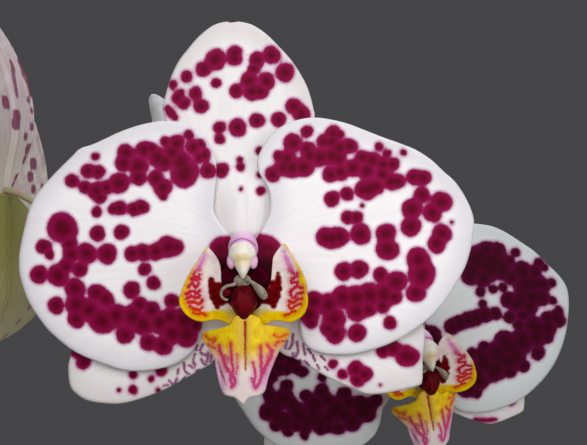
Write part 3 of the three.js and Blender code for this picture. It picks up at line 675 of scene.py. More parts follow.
# Spots read in the photograph: x, z and radius in mm, in the front bloom's plane.
LEFT_PETAL_SPOTS = [
    (-29.5, 19.7, 0.9), (-34.2, 14.8, 1.5), (-31.1, 16.8, 1.5), (-29, 16.6, 1.5), (-31.6, 13.5, 1.4),
    (-29.3, 12.8, 1.9), (-28.6, 11.4, 1.3), (-27.3, 13.5, 1.4), (-24.8, 14.4, 2.2), (-23.4, 20.5, 1.8),
    (-23.9, 18.4, 1.8), (-21, 17.8, 2.1), (-21, 15.5, 1.7), (-19.8, 21.1, 1.8), (-18.2, 21.3, 1.3), (-17.1, 19.5, 2.1),
    (-15.6, 18.6, 2), (-15.6, 22.7, 1.1), (-13.3, 22.3, 1.8), (-14.2, 20.5, 1.8), (-10.8, 24, 1.1), (-9.9, 21.6, 1.6),
    (-8.4, 22.2, 1), (-7.7, 20, 1.4), (-8.8, 19.5, 1.2), (-12.4, 18.6, 2.4), (-11.7, 16.4, 3), (-7, 16.8, 1.7),
    (-17.4, 15.3, 1.8), (-16, 13.5, 1.9), (-16, 11.7, 0.9), (-29.3, 8.6, 1.15), (-25.9, 9.2, 1.2), (-24.6, 9.4, 1.5),
    (-21.8, 9.2, 1.5), (-20.3, 9.6, 1.6), (-29.1, 4.3, 1.65), (-24.3, 4.6, 1.6), (-36.1, 5.4, 3.2), (-34.7, 2.2, 1.6),
    (-39.9, 1.7, 1.6), (-38.7, 0, 1), (-34.3, 0.2, 1.8), (-31.3, 0.3, 2.15), (-27.2, 0.2, 2.1), (-22.1, 0.25, 1.7),
    (-20, 0.5, 1.8), (-17.4, 0.7, 1.9), (-14.9, 1.6, 2.35), (-13.1, 1.6, 1.4), (-19.7, -2.9, 1.4), (-17.9, -5.6, 1.5),
    (-40.8, -3.9, 1.9), (-35.4, -2.3, 1.6), (-37, -4.1, 2.3), (-32.6, -2.9, 1.6), (-33.6, -6.7, 2.1),
    (-37.4, -10.1, 1.8), (-29.3, -7.6, 1.9), (-27.5, -8.8, 1.8), (-22.3, -7, 1.8), (-33.3, -9.9, 2.3),
    (-33.3, -12.8, 1.9), (-30.8, -11, 2.3), (-28.2, -13.1, 2.8), (-25.4, -12.1, 2.3), (-23.6, -16, 1.9),
    (-22.1, -12.4, 2.5), (-20.7, -9.9, 1.6), (-20, -13.9, 2.3), (-18.2, -11, 1.8), (-18.9, -17.5, 1.8), (-16, -18.2, 2),
    (-16.7, -13.5, 2.3), (-14.2, -9.2, 1.6), (-14.6, -12.4, 2), (-14.2, -15.7, 2.3), (-11.7, -13.1, 2.6),
    (-11.3, -16, 2.5), (-9.5, -14.2, 1.4), (-4.4, 1.1, 2.4), (-3, 2.2, 1.7), (-4.5, -1.5, 2.9), (-4.2, -5, 3.4),
]
RIGHT_PETAL_SPOTS = [
    (12.8, 24.7, 1.3), (10, 22.4, 2), (18, 24.4, 1.6), (19.2, 24.1, 1.1), (16.1, 22.7, 1.5), (17.8, 22.7, 1.7),
    (21.3, 21.8, 1.7), (19.2, 21.3, 1.9), (12.8, 21.3, 1.5), (7.1, 19.8, 1.2), (8.8, 19.2, 1.9), (8.1, 17.5, 1.9),
    (5.9, 16.1, 1.65), (9.8, 17.5, 2.1), (12.1, 17.5, 2.1), (13.3, 19.9, 1.7), (15.4, 19.6, 2.1), (17.8, 19.9, 2.2),
    (19.2, 19.2, 1.6), (17.5, 16.1, 1.7), (19.5, 16.6, 1.8), (22, 17.5, 1.9), (23.9, 19.6, 1.5), (25.8, 18.9, 1.8),
    (24.7, 16.8, 1.9), (27.9, 18.2, 1.6), (29.9, 18.1, 1.5), (27.9, 16.1, 1.6), (27.2, 21.7, 0.95),
    (28.8, 20.3, 0.95), (32.1, 20.5, 0.75), (29.6, 14.7, 1.7), (30.8, 14.7, 1.7), (23.9, 13, 1.7), (25.1, 13.2, 2.2),
    (26.5, 13.7, 1.8), (34.1, 15.6, 1.6), (36, 15.4, 1.7), (35.8, 12, 1.7), (33.8, 9.2, 2.2), (39.7, 10.6, 2.2),
    (37.9, 8.5, 2), (33.6, 5.7, 2.1), (39.8, 4.3, 2), (38.8, 2.3, 2), (41.7, 6.5, 0.45), (20.8, 12.2, 1.45),
    (17.8, 11.2, 1.65), (23.9, 9.9, 0.5), (20.9, 7.5, 1.4), (22.7, 7.5, 1.4), (16.6, 3.5, 2.1), (17.8, 3.3, 2.1),
    (19.2, 3.6, 2.1), (23.5, 4.2, 2.2), (28.6, 4.3, 2.1), (28.9, 1.2, 2.4), (20.1, -3.3, 1.9), (23.2, -2.9, 1.95),
    (35.1, -0.9, 2.5), (35.8, -4, 2.9), (34.6, -7.6, 2), (27.5, -4, 1.6), (30.6, -5.4, 2.3), (25.4, -8.1, 2.6),
    (28.2, -7.8, 2.5), (22.7, -8.5, 2.6), (19.9, -8.5, 2.4), (17.1, -9.9, 2.4), (14.3, -9.2, 2.1), (13.3, -12, 2.1),
    (13.7, -13.7, 1.2), (18.2, -12.7, 2.4), (18.5, -15.8, 2.1), (17.1, -14.7, 1.7), (22.7, -11.3, 2.1),
    (22.8, -15.6, 1.9), (25.1, -10.9, 1.6), (27.9, -10.2, 1.6), (30.3, -8.5, 1.6), (29.4, -13.6, 1.45),
    (4.4, 1.4, 2.5), (5.6, 1.4, 2.0), (3.3, 2.5, 1.7), (5, -1.5, 2.8), (4.8, -5, 3.4),
]
DORSAL_SPOTS = [
    (-1.7, 40.4, 1.6), (-1.7, 39.3, 1.6), (-5.5, 39.1, 2.2), (-7.9, 37.2, 1.7), (-11.3, 35.7, 1.3), (-14, 34.1, 1),
    (-5.4, 34.4, 1.1), (-13.1, 31.4, 1.3), (-11.8, 30.3, 1.3), (-12.4, 32.4, 0.9), (-9.5, 32.3, 1.45),
    (-8.4, 29.8, 1.6), (-15.0, 29.3, 0.8), (-14.4, 28.4, 0.95), (-13.6, 27.5, 0.75), (2.8, 39, 1.7), (2.1, 37.2, 1.3),
    (5.7, 40, 1.9), (8.4, 36.5, 2), (1.2, 34.9, 1.8), (4.7, 34.8, 1.8), (1.8, 32.7, 1.9), (3.4, 32.7, 1.7),
    (-1.4, 32.8, 1.5), (10.1, 29.8, 1.7), (11.7, 28.2, 1.9), (7.1, 27.1, 1.6), (2.8, 26.9, 1.6), (-1.1, 25.5, 1.9),
    (-4.7, 25.5, 1.35), (-4.7, 23.2, 1.15), (3.3, 20.8, 0.9), (-0.6, 19.1, 0.7), (-0.5, 17.6, 0.95), (-4.3, 17, 1.6),
    (3.3, 16, 0.7), (-0.4, 13.2, 0.5), (3.6, 12.8, 1),
]
LEFT_SEPAL_SPOTS = [
    (-31.9, -21.4, 1.6), (-22, -24, 0.95), (-18.4, -24.8, 0.7), (-16.4, -23.2, 1.2), (-22, -27, 1), (-24.8, -27, 0.5),
    (-17, -27, 0.55),
]
LEFT_SEPAL_STROKES = [
    spot
    for line in (
        [(-8, -17.8), (-8.6, -19.4), (-7.7, -20)], [(-7, -19.4), (-7.2, -21.4)], [(-6.2, -19.8), (-6.4, -21.2)],
        [(-8.4, -20.8), (-8, -21.6), (-7.4, -22)], [(-9.6, -19.8), (-10, -21.4), (-9.5, -22)],
        [(-9.2, -18), (-9.4, -19)], [(-11.8, -21.6), (-11.6, -23.2), (-10.8, -23.8)], [(-10.8, -22.1), (-9.9, -22.6)],
        [(-13.2, -24.6), (-13.6, -25.6)], [(-14.8, -25.1), (-14.1, -25.9)], [(-11.6, -24.4), (-12.2, -25.2)],
        [(-9.4, -23.2), (-8.8, -23)], [(-12.9, -22.8), (-13.1, -23.8)], [(-15.9, -26.2), (-15.1, -26)],
    )
    for spot in along(line, 0.17, 0.25)
]
RIGHT_SEPAL_SPOTS = [
    (18, -21.8, 1), (19.9, -23.9, 1.1), (22.6, -22.9, 1.8), (24.3, -23.9, 1.7), (22.8, -25.1, 1.4), (28, -19.2, 1.5),
    (30, -18.7, 1.8), (32.5, -20.2, 2.2), (33.7, -20.4, 1.7), (27.5, -26, 0.3),
]
RIGHT_SEPAL_STROKES = [
    spot
    for line in (
        [(10, -15.8), (9.8, -17.8), (9.2, -18.8)], [(8.8, -17.2), (8.4, -18.6)],
        [(10.8, -17.4), (11, -19.4), (10.4, -20.4)], [(12, -17.8), (12.4, -20)], [(10, -19.6), (9.7, -21)],
        [(12.4, -21.2), (13.2, -22)], [(14, -20), (14.4, -21.2)], [(14.8, -22), (15.2, -22.8)],
        [(11.4, -21), (11.7, -22)], [(13, -18.8), (13.6, -19.6)], [(15.6, -20.2), (16.4, -21)],
        [(16.4, -22.4), (17, -23)],
    )
    for spot in along(line, 0.17, 0.25)
]
# Spots of the right bloom, where the photograph shows them.
FAR_RIGHT_PETAL_SPOTS = [
    (48.6, 1, 1.9), (51, 1.2, 1.5), (46.8, -0.9, 2.8), (49.6, -1.8, 3.2), (54.5, 0.5, 1), (53.3, -1.1, 1.1),
    (51.9, -3.2, 2), (45.4, -4.2, 1.9), (48.2, -4.6, 1.9), (59.2, -1.6, 1.1), (60.4, -2.5, 0.8), (55.7, -2.8, 1.8),
    (53.8, -4.2, 1.4), (56.6, -6, 2.7), (59, -5.6, 1.6), (61.8, -5.6, 1), (59.4, -8.4, 1.8), (62, -9.1, 0.9),
    (47.5, -7.3, 1.1), (50, -6.8, 1), (52, -6.5, 1), (52.9, -9.1, 1.4), (54.7, -9.8, 1.9), (57.3, -10.3, 1.9),
    (47.9, -9.8, 0.9), (50.5, -11.7, 1.4), (53.3, -12.4, 1.3), (56, -12, 1.3), (63.2, -11.2, 1), (63.4, -13.3, 1.3),
    (60.8, -12.6, 1.4), (55.2, -14, 1.3), (58, -14, 2), (60.8, -16.4, 1.4), (59, -19.7, 1.5), (52.4, -17.3, 2.3),
    (55.7, -16.9, 2.3), (48.2, -18.3, 1.2), (45.8, -19.7, 1.2), (48.2, -21.1, 2.1), (51.5, -20.6, 2.6),
    (54.7, -20.1, 2.1), (56.2, -22.3, 1.3), (53.3, -23.4, 1.4), (50.1, -23.4, 2.1), (47.2, -25.3, 2.1),
    (44.4, -26.7, 1.9), (46.8, -27.7, 1.1), (37.8, -15.9, 1.9), (47.4, -1.2, 3), (50.2, -0.9, 2.7), (46, -3, 2.3),
    (49.6, -3, 2.2), (51.8, -2.2, 2), (44.4, -2.2, 2), (53.6, -4.4, 1.6), (56, -3.8, 1.7), (58.4, -3.4, 1.5),
    (57.8, -5.8, 1.9), (60, -6, 1.6), (55.6, -8.6, 1.8), (57.8, -8.4, 1.9), (60, -8.8, 1.4), (53, -8.6, 1.4),
    (62.4, -12.4, 1.5), (61, -14.6, 2), (58.8, -14.6, 2), (58.6, -16.4, 2.2), (56, -17.4, 2.5), (53.4, -18.4, 2.7),
    (50.8, -19.8, 2.7), (48.4, -21.8, 2.5), (50.6, -22.8, 2.3), (46.6, -24.2, 2.3), (53.4, -21.4, 2.4),
    (45.2, -26.4, 1.9), (47.6, -20, 1.7), (43.6, -24.6, 2),
] + along([(41.8, -14.3), (45, -13.0), (48.4, -12.0)], 1.7, 1.2)
FAR_RIGHT_SEPAL_SPOTS = (
    along([(46.4, -32.9), (48.4, -33.1), (50.6, -32.9)], 0.3)
    + along([(53.4, -29.8), (54.2, -29.3)], 0.4)
)
# Marks on the backs of the left bloom, where the photograph shows them.
ARCHED_DORSAL_SPOTS = (
    [
        (-48.1, 30.5, 1.4), (-45.6, 27.9, 1.2), (-45.7, 26.1, 1.2), (-43.6, 30.4, 0.6), (-42.8, 29, 0.5),
        (-43, 25.4, 0.8), (-44, 23.8, 0.7), (-43.4, 21.4, 1.1), (-44, 19.2, 0.7), (-44.1, 18.2, 0.6),
        (-44.8, 15.4, 0.8), (-45.8, 13.6, 0.6),
    ]
    + along([(-46.8, 38.2), (-46.3, 35), (-45.9, 32)], 0.6, 0.8)
    + along([(-45.4, 38.6), (-44, 35), (-42.8, 31.4)], 0.35, 0.8)
)
CUPPED_PETAL_SPOTS = [(-42.4, 18.2, 1.4), (-43, 15.6, 1.2), (-42.5, 13.2, 0.9), (-40.8, 13.6, 0.6)]
CUPPED_SEPAL_SPOTS = [(-43.2, -10.2, 0.42), (-45.4, -12.8, 0.5), (-48.1, -15.8, 0.5)]
FAR_LEFT_PETAL_SPOTS = [
    (8.7, -26.2, 1.4), (5.4, -28.1, 1.6), (8.3, -28.6, 2.1), (5, -31.4, 1.9), (6.4, -34.2, 1.2), (8.5, -33.3, 1.9),
    (9, -35.4, 1.1), (11.1, -31.9, 2.3), (12.5, -28.1, 1.3), (12.5, -34.7, 1.2), (12.3, -36.1, 1), (14.4, -30, 2.3),
    (15.8, -27.2, 1.6), (15.5, -33.3, 2.1), (15.5, -34.9, 1.3), (18.6, -30.9, 2.6), (20.2, -27.7, 1.5),
    (19.1, -34.7, 1.4), (21.9, -33.3, 2.1), (23.3, -30, 2.1), (24.7, -31.4, 2.1), (26.6, -29.1, 1.4),
    (9.7, -21.1, 1.9), (7.3, -23, 1.2), (12, -23.4, 1.2), (15.8, -24.4, 1), (7.6, -20.4, 1.3), (6.8, -22.2, 1.5),
    (5.6, -24.2, 1.5), (8.8, -22.6, 1.5), (10.8, -22.8, 1.2), (4.8, -26.4, 1.2), (6.7, -30, 1.7), (9.8, -30, 1.6),
    (13.2, -33.4, 1.5), (14, -32, 1.6), (17, -32.6, 1.8), (16.8, -29, 1.5), (20.4, -32, 1.9), (21.2, -29.6, 1.5),
    (10.6, -34.2, 1.2), (17.2, -34.4, 1.3), (23.6, -31.6, 1.6), (25.4, -30, 1.5), (7, -32.4, 1.4),
]
LEFT_FLAME = [
    (-6.4, -5.0, 0.45), (-6.1, -6.0, 0.75), (-5.8, -7.1, 1.0), (-5.5, -8.3, 1.05), (-5.25, -9.4, 0.75),
    (-5.15, -10.3, 0.4), (-4.8, -6.4, 0.9), (-4.3, -7.8, 1.0), (-4.2, -9.2, 0.8), (-3.2, -8.6, 1.0),
]
RIGHT_FLAME = [
    (6.95, -3.7, 0.22), (7.05, -4.5, 0.42), (7.0, -5.5, 0.65), (6.8, -6.8, 0.85), (6.5, -8, 0.9), (6.2, -9.2, 0.75),
    (6.1, -10.2, 0.45), (5.9, -5.8, 0.6), (5.5, -7.4, 0.9), (5.2, -9, 0.8), (4.2, -8.6, 1.0),
]
LEFT_LOBE_STROKES = (
    along([(-7.7, 0.1), (-8.1, -1.2)], 0.2) + along([(-8.1, -1.1), (-8.5, -1.9), (-8.9, -2.6)], 0.36)
    + along([(-8.7, -2.9), (-9.4, -3.2), (-9.9, -4.1), (-9.2, -4.5), (-8.7, -3.9)], 0.26)
    + along([(-8.7, -4.8), (-9.6, -5.0), (-10.4, -4.7)], 0.3)
    + along([(-8.9, -5.7), (-9.4, -6.5), (-10.1, -5.7), (-10.9, -6.4)], 0.28)
    + along([(-8.7, -7.1), (-9.2, -7.7), (-9.9, -7.2), (-10.8, -7.5), (-11.4, -7.8)], 0.28)
    + along([(-8.7, -8.2), (-9.4, -8.7), (-10.3, -8.2), (-11.3, -8.7)], 0.3)
    + along([(-8.2, -9.1), (-8.9, -9.8), (-9.9, -9.4), (-11, -9.5)], 0.32)
    + along([(-8.2, -10.5), (-8.9, -11), (-9.9, -10.7), (-10.6, -10.3)], 0.28)
    + along([(-7.6, -12.1), (-8.2, -11.5), (-8.9, -11.9), (-9.9, -11.6)], 0.22)
)
RIGHT_LOBE_STROKES = (
    along([(8.2, 0.7), (8.6, -0.7)], 0.2) + along([(8.6, -0.6), (9.3, -2.2), (9.9, -3.2)], 0.34)
    + along([(9.2, -2.7), (9.9, -3.6), (10.8, -3.6)], 0.28)
    + along([(10.8, -4.3), (9.9, -4.7), (9.6, -5.5), (10.8, -5.5)], 0.28)
    + along([(11.7, -6.6), (10.8, -6.2), (9.9, -6.9), (9.4, -7.5)], 0.28)
    + along([(11.9, -7.5), (10.8, -7.8), (10.1, -8.7), (9.6, -8)], 0.28)
    + along([(11.7, -8.7), (10.8, -8.9), (10.1, -9.6), (9.2, -9.2)], 0.28)
    + along([(11.5, -9.8), (10.6, -10.1), (9.6, -10.8), (9.2, -10.1)], 0.28)
    + along([(10.4, -11.2), (9.4, -11.7), (8.3, -12.1)], 0.22)
)
MIDDLE_LINE_AND_FOLD_SHADOW = along([(0.4, -13.4), (0.45, -16)], 0.27) + along([(0.45, -16), (0.45, -19.5), (0.5, -22.9)], 0.17)
# This thin streak is a painted shadow line between two folds of the middle lobe.
MIDDLE_LINE_AND_FOLD_SHADOW += along([(-5.0, -21.4), (-4.3, -23.6), (-3.3, -26)], 0.08, 0.25)
MIDDLE_STROKES = (
    along([(-4.8, -18.1), (-4.6, -19.3), (-4, -20.4), (-3.6, -21.8), (-3.1, -22.9)], 0.28)
    + along([(-2.5, -17.6), (-2.4, -19.5), (-2.3, -21.3), (-2, -22.9), (-2.5, -24.5), (-2.1, -26.1)], 0.24)
    + along([(-3.1, -22.9), (-2.5, -23.6), (-1.8, -24.5), (-1.6, -25.7), (-2.3, -26.4)], 0.28)
    + along([(-4.1, -20.2), (-3.2, -20.4), (-3, -21.5)], 0.18)
    + along([(-1.25, -19.9), (-1.15, -22), (-1.4, -23.8)], 0.1)
    + along([(3.5, -18.3), (3.6, -20.2), (3.6, -22), (3.7, -23.8), (3.2, -25.7), (2.5, -26.6)], 0.26)
    + along([(4.8, -18), (5.5, -18.8), (5.7, -19.9), (5, -21.3), (4.4, -22.5), (3.9, -23.8)], 0.28)
    + along([(6, -19), (5.5, -20.6), (4.6, -22.2)], 0.2)
    + along([(1.85, -24.8), (2.1, -25.7), (2.5, -26.6)], 0.26)
    + along([(-7.5, -16.2), (-6.6, -17), (-5.5, -16.6), (-5.9, -17.6)], 0.16)
    + along([(-6.9, -17.9), (-5.7, -18.6)], 0.2)
    + along([(8.7, -15.8), (7.4, -16.5), (6.2, -16)], 0.16)
    + along([(8.3, -17.2), (6.9, -17.4), (6.4, -18.1)], 0.2)
    + along([(2.0, -21.6), (2.5, -24), (2.2, -26.2)], 0.2)
    + along([(5.1, -19.8), (4.4, -22.8), (3.3, -25.6)], 0.14)
)
HOOD_LINE = along([(-2.4, 1.9), (-1.5, 2.8), (0.05, 3.35), (1.6, 2.8), (2.6, 1.9)], 0.1, 0.2)


def ovals(own, seen, marks):
    """Marks that the photograph shows at a slant, as ovals that lie where the skin is seen there."""
    for x, z, radius in marks:
        place = own[np.hypot(seen[:, 0] - x, seen[:, 1] - z).argmin()]
        yield from ((place[0] + step * radius, place[2], radius) for step in (-1, 0, 1))


class Bloom:
    """One bloom: where it stands, how fine its sheets are, and what is marked on each of its tepals."""

    def __init__(
        self, tag, at, yaw=0.0, pitch=0.0, roll=0.0, size=1.0, fine=1.0, opening=SWEPT, lip=(0.0, 1.0),
        middle_lobe=None, right_lobe=None
    ):
        turn = Matrix.Rotation(math.radians(yaw), 4, "Z") @ Matrix.Rotation(math.radians(pitch), 4, "X")
        turn = turn @ Matrix.Rotation(math.radians(roll), 4, "Y")
        self.pose = Matrix.Translation(at) @ turn @ Matrix.Scale(size, 4)
        root = Vector((0, -3, -3))
        lift, share = lip
        self.lip_pose = self.pose @ Matrix.Translation(root + Vector((0, 0, lift))) @ Matrix.Scale(share, 4)
        self.lip_pose = self.lip_pose @ Matrix.Translation(-root)
        self.middle_pose = self.lip_pose @ (middle_lobe or Matrix.Identity(4))
        self.lobe_poses = {"left": self.lip_pose, "right": self.lip_pose @ (right_lobe or Matrix.Identity(4))}
        self.opening = opening
        self.tag = tag
        self.fine = fine

    def tepal(
        self, part, outline, middle, depth, columns, rows, skins, seen_spots=(), own_spots=(), back_spots=(), strokes=()
    ):
        columns, rows = int(columns * self.fine), int(rows * self.fine)
        shape, rim = blade(outline, middle, columns, rows, depth)

        def fields(own, seen):
            x, z = own[:, 0], own[:, 2]
            edge, core = spot_field(seen[:, 0], seen[:, 1], seen_spots)
            more_edge, more_core = spot_field(x, z, own_spots)
            angle = np.arctan2(z - 1.0, np.abs(x) + 6.0) if part != "dorsal_sepal" else np.arctan2(x, z + 8.0)
            gaps = np.hypot(x[:, None] - rim[None, :, 0], z[:, None] - rim[None, :, 1])
            return {
                "spot_edge": np.maximum(edge, more_edge),
                "back_edge": spot_field(x, z, list(ovals(own, seen, back_spots)))[0],
                "stroke": spot_field(seen[:, 0], seen[:, 1], strokes, 16.0)[0],
                "spot_core": np.maximum(
                    np.maximum(core, more_core), 0.8 * smoothstep(np.maximum(edge, more_edge), 0.5, 2.4)
                ),
                "margin": gaps.min(1),
                "reach": np.hypot(x, z),
                "fan": np.stack([angle * 3, np.hypot(x, z), 0 * x], 1),
            }

        piece(
            f"{self.tag}_{part}_tissue", shape, skins, f"{self.tag}_{part}", self.pose, TEPAL_THICKNESS,
            fields, 1 if self.opening is CUPPED else 0
        )


def tepals(
    bloom, marks, right_petal=None, right_sepal=RIGHT_SEPAL, left_sepal=LEFT_SEPAL, dorsal_sepal=DORSAL_SEPAL,
    left_petal=LEFT_PETAL
):
    """The three sepals and two petals; marks has the spots of each: seen, own, seen on the back, and strokes."""
    # The right bloom's petals take the copy of the petal front with painted shade.
    petal = (PETAL_FRONT_SHADED if bloom.tag == "right" else PETAL_FRONT, PETAL_BACK)
    sepal, dorsal = (SEPAL_FRONT, SEPAL_BACK), (SEPAL_FRONT, DORSAL_BACK)
    for part, outline, middle, kind, columns, rows, skins in (
        ("dorsal_sepal", unprojected(dorsal_sepal, dorsal_depth), (0, 25), "dorsal", 140, 56, dorsal),
        ("left_sepal", unprojected(left_sepal, sepal_depth), (-17, -15), "sepal", 240, 50, sepal),
        ("right_sepal", unprojected(right_sepal, sepal_depth), (17, -13), "sepal", 240, 50, sepal),
        ("left_petal", unprojected(left_petal, petal_depth), (-20, 3), "petal", 210, 68, petal),
        ("right_petal", right_petal or unprojected(RIGHT_PETAL, petal_depth), (20, 3), "petal", 210, 68, petal),
    ):
        spots = dict(zip(("seen_spots", "own_spots", "back_spots", "strokes"), marks[part]))
        bloom.tepal(part, outline, middle, bloom.opening[kind], columns, rows, skins, **spots)


def side_lobe_depth(x, z):
    """A side lobe is cupped, with its outer margin nearest the viewer."""
    out = np.clip((np.abs(x) - 1.5) / 11, 0, 1)
    up = np.clip((z + 13.5) / 15, 0, 1)
    return -5.6 - 3.6 * out * (1 - 0.45 * up) + 2.2 * np.sin(math.pi * out) * up


def mid_lobe_depth(x, z):
    down = np.clip((-11.4 - z) / 17.8, 0, 1)
    fold = 0.5 * hump(x, -4.3, 0.7) * smoothstep(-z, 20.5, 23.0) + 0.4 * hump(x, 4.4, 0.7) * smoothstep(-z, 22.0, 24.0)
    keel = 0.5 * hump(x, 0.4, 0.6) * smoothstep(z, -24.0, -20.0)
    return -9.6 + 0.09 * (x - 0.4) ** 2 * (1 - 0.6 * down) + 3.2 * down**2 + fold + keel


def lip(bloom):
    tag, node = bloom.tag, f"{bloom.tag}_lip"

    def fields_of(margin, patch, strokes):
        margin = np.array(margin)

        def fields(own, seen):
            x, z = own[:, 0], own[:, 2]
            near = EYE_TO_FRONT_BLOOM / (EYE_TO_FRONT_BLOOM + own[:, 1])
            at = (EYE.x + (x - EYE.x) * near, EYE_ABOVE_BLOOM + (z - EYE_ABOVE_BLOOM) * near)
            gap = np.hypot(x[:, None] - margin[None, :, 0], z[:, None] - margin[None, :, 1]).min(1)
            broad = (0.15 + 1.25 * smoothstep(-z, 0, 7)) * (1 if tag != "right" else smoothstep(-z, 4, 9))
            broad = broad + smoothstep(-z, 9.5, 12.5)
            return {
                "spot_edge": spot_field(*at, patch, 8.0)[0],
                "stroke": spot_field(*at, strokes, 16.0)[0],
                "yellow": broad - gap,
                "base": smoothstep(-z, 9.8, 11.2) * smoothstep(-np.abs(x), -7.2, -5.2),
            }

        return fields

    for side, outline, middle, flame, strokes in (
        ("left", LEFT_LOBE, (-7.6, -7.5), LEFT_FLAME, LEFT_LOBE_STROKES),
        ("right", RIGHT_LOBE, (8.6, -7.5), RIGHT_FLAME, RIGHT_LOBE_STROKES),
    ):
        flat = unprojected(outline, side_lobe_depth)
        shape, _ = blade(flat, middle, int(150 * bloom.fine), int(44 * bloom.fine), side_lobe_depth)
        paint = fields_of(open_line(flat[:11], 120), flame, strokes)
        piece(f"{tag}_lip_{side}_lobe", shape, [LOBE], node, bloom.lobe_poses[side], 0.9, paint)
    flat = unprojected(MID_LOBE, mid_lobe_depth)
    shape, rim = blade(flat, (0.4, -19), int(150 * bloom.fine), int(56 * bloom.fine), mid_lobe_depth)
    paint = fields_of(rim, MIDDLE_LINE_AND_FOLD_SHADOW, MIDDLE_STROKES)
    piece(f"{tag}_lip_middle_lobe", shape, [MIDDLE_LOBE], node, bloom.middle_pose, 0.9, paint)
    throat = joined(
        ball((0.4, -4.4, -6.6), (5.6, 1.9, 5.9)),
        tube([(0, -1.4, -2), (0, -3.2, -4.4), (0, -5, -7)], lambda v: 1.9 + 0 * v, 14, 8),
    )
    piece(f"{tag}_lip_throat", throat, [THROAT_AND_SHADE], node, bloom.lip_pose)
    callus = ball((0, 0, 0), (2.6, 2.2, 3.6), 20)
    for vert in callus.verts:
        if vert.co.z < 0:
            vert.co.x *= 1 + 0.1 * vert.co.z
        vert.co.y += 0.35 * math.exp(-((vert.co.x / 0.5) ** 2)) * (vert.co.y < 0)
    bmesh.ops.translate(callus, vec=(0.4, -8.4, -9.3), verts=callus.verts)
    knob = ball((-2.9, -9.4, -7.1), (0.75, 0.6, 0.75), 8)
    piece(f"{tag}_lip_callus", joined(callus, knob), [CALLUS], node, bloom.lip_pose)
    curl = [
        (-1.2, -9.2, -5.4), (-1.9, -9.6, -5.7), (-2.9, -9.8, -5.9), (-3.8, -9.9, -6.6), (-4.0, -9.8, -7.6),
        (-3.5, -9.7, -8.4), (-2.7, -9.6, -8.6),
    ]
    wing = [(0.9, -9.2, -4.6), (1.9, -9.5, -5.1), (3.0, -9.7, -6.1), (4.0, -9.7, -7.3), (4.6, -9.6, -8.4)]

    def wing_width(v):
        rounded = np.sqrt(np.maximum(0.02, 1 - np.maximum(0, (v - 0.72) / 0.285) ** 2))
        return 0.3 + 0.6 * smoothstep(v, 0.1, 0.75) * rounded

    horns = joined(
        tube(curl, lambda v: 0.34 - 0.1 * v, 12, 36),
        tube(wing, wing_width, 16, 40),
        ball((0.1, -8.1, -4.9), (1.7, 0.7, 1.3)),
    )
    piece(f"{tag}_lip_horns", horns, [HORNS], node, bloom.lip_pose)


def column(bloom):
    shape = ball((0, 0, 0), (2.95, 5.4, 3.2), 48)
    for vert in shape.verts:
        if vert.co.z > 0:
            front = max(0.0, -vert.co.y / 5.4)
            vert.co.z *= 1.08 + 0.12 * front
            vert.co.x *= 1.0 + 0.1 * front * (1 - vert.co.z / 3.9)
    bmesh.ops.translate(shape, vec=(0.1, -2.6, 1.3), verts=shape.verts)
    wings = [ball((x, -7.7, -1.1), (0.9, 1.0, 1.5), 14) for x in (-2.05, 2.2)]
    line = lambda own, seen: {"stroke": spot_field(own[:, 0], own[:, 2], HOOD_LINE, 16.0)[0]}
    piece(
        f"{bloom.tag}_column_body", joined(shape, *wings), [HOOD], f"{bloom.tag}_column", bloom.pose, 0, line
    )
    cap = ball((0, 0, 0), (2.7, 2.5, 2.6), 20)
    for vert in cap.verts:
        if vert.co.z < 0:
            vert.co.x *= 1 - 0.4 * (vert.co.z / 2.6) ** 2
    bmesh.ops.translate(cap, vec=(0.05, -7.8, 0.2), verts=cap.verts)
    beak = tube(
        [(0.15, -8.4, -1.2), (0.2, -9.2, -2.8), (0.25, -9.8, -4.5)], lambda v: 1.75 * (1 - v) ** 0.8 + 0.12, 20, 14
    )
    piece(
        f"{bloom.tag}_anther_cap_dome", joined(cap, capped(beak)), [CAP], f"{bloom.tag}_anther_cap",
        bloom.pose
    )


def pedicel(bloom, start, bow, behind, slim=1.6, seat=3.5, joint=(0, 3.17, 1.5)):
    """The bloom's own stalk, which swells into the seat of the petals."""
    end = bloom.pose @ Vector(joint)
    before = bloom.pose @ (Vector(joint) + Vector((0, behind, 0)))
    swell = lambda v: slim + (seat - slim) * smoothstep(v, 1.05 - 0.09 * seat, 0.97)
    shape = tube([start, bow, tuple(before), tuple(end)], swell, 24, 60)
    piece(f"{bloom.tag}_pedicel_stalk", capped(shape), [STALK], f"{bloom.tag}_pedicel")


def capped(shape):
    """Closes the open ends of a tube."""
    bmesh.ops.holes_fill(shape, edges=[e for e in shape.edges if e.is_boundary])
    bmesh.ops.recalc_face_normals(shape, faces=shape.faces)
    return shape


def moved_spots(spots, seed, shift=1.4, mirror=1):
    """The same kind of spots in slightly other places, for tepals that the photograph hides."""
    pick = random.Random(seed)
    return [
        (mirror * x + pick.uniform(-shift, shift), z + pick.uniform(-shift, shift), r * pick.uniform(0.8, 1.15))
        for x, z, r in spots
    ]


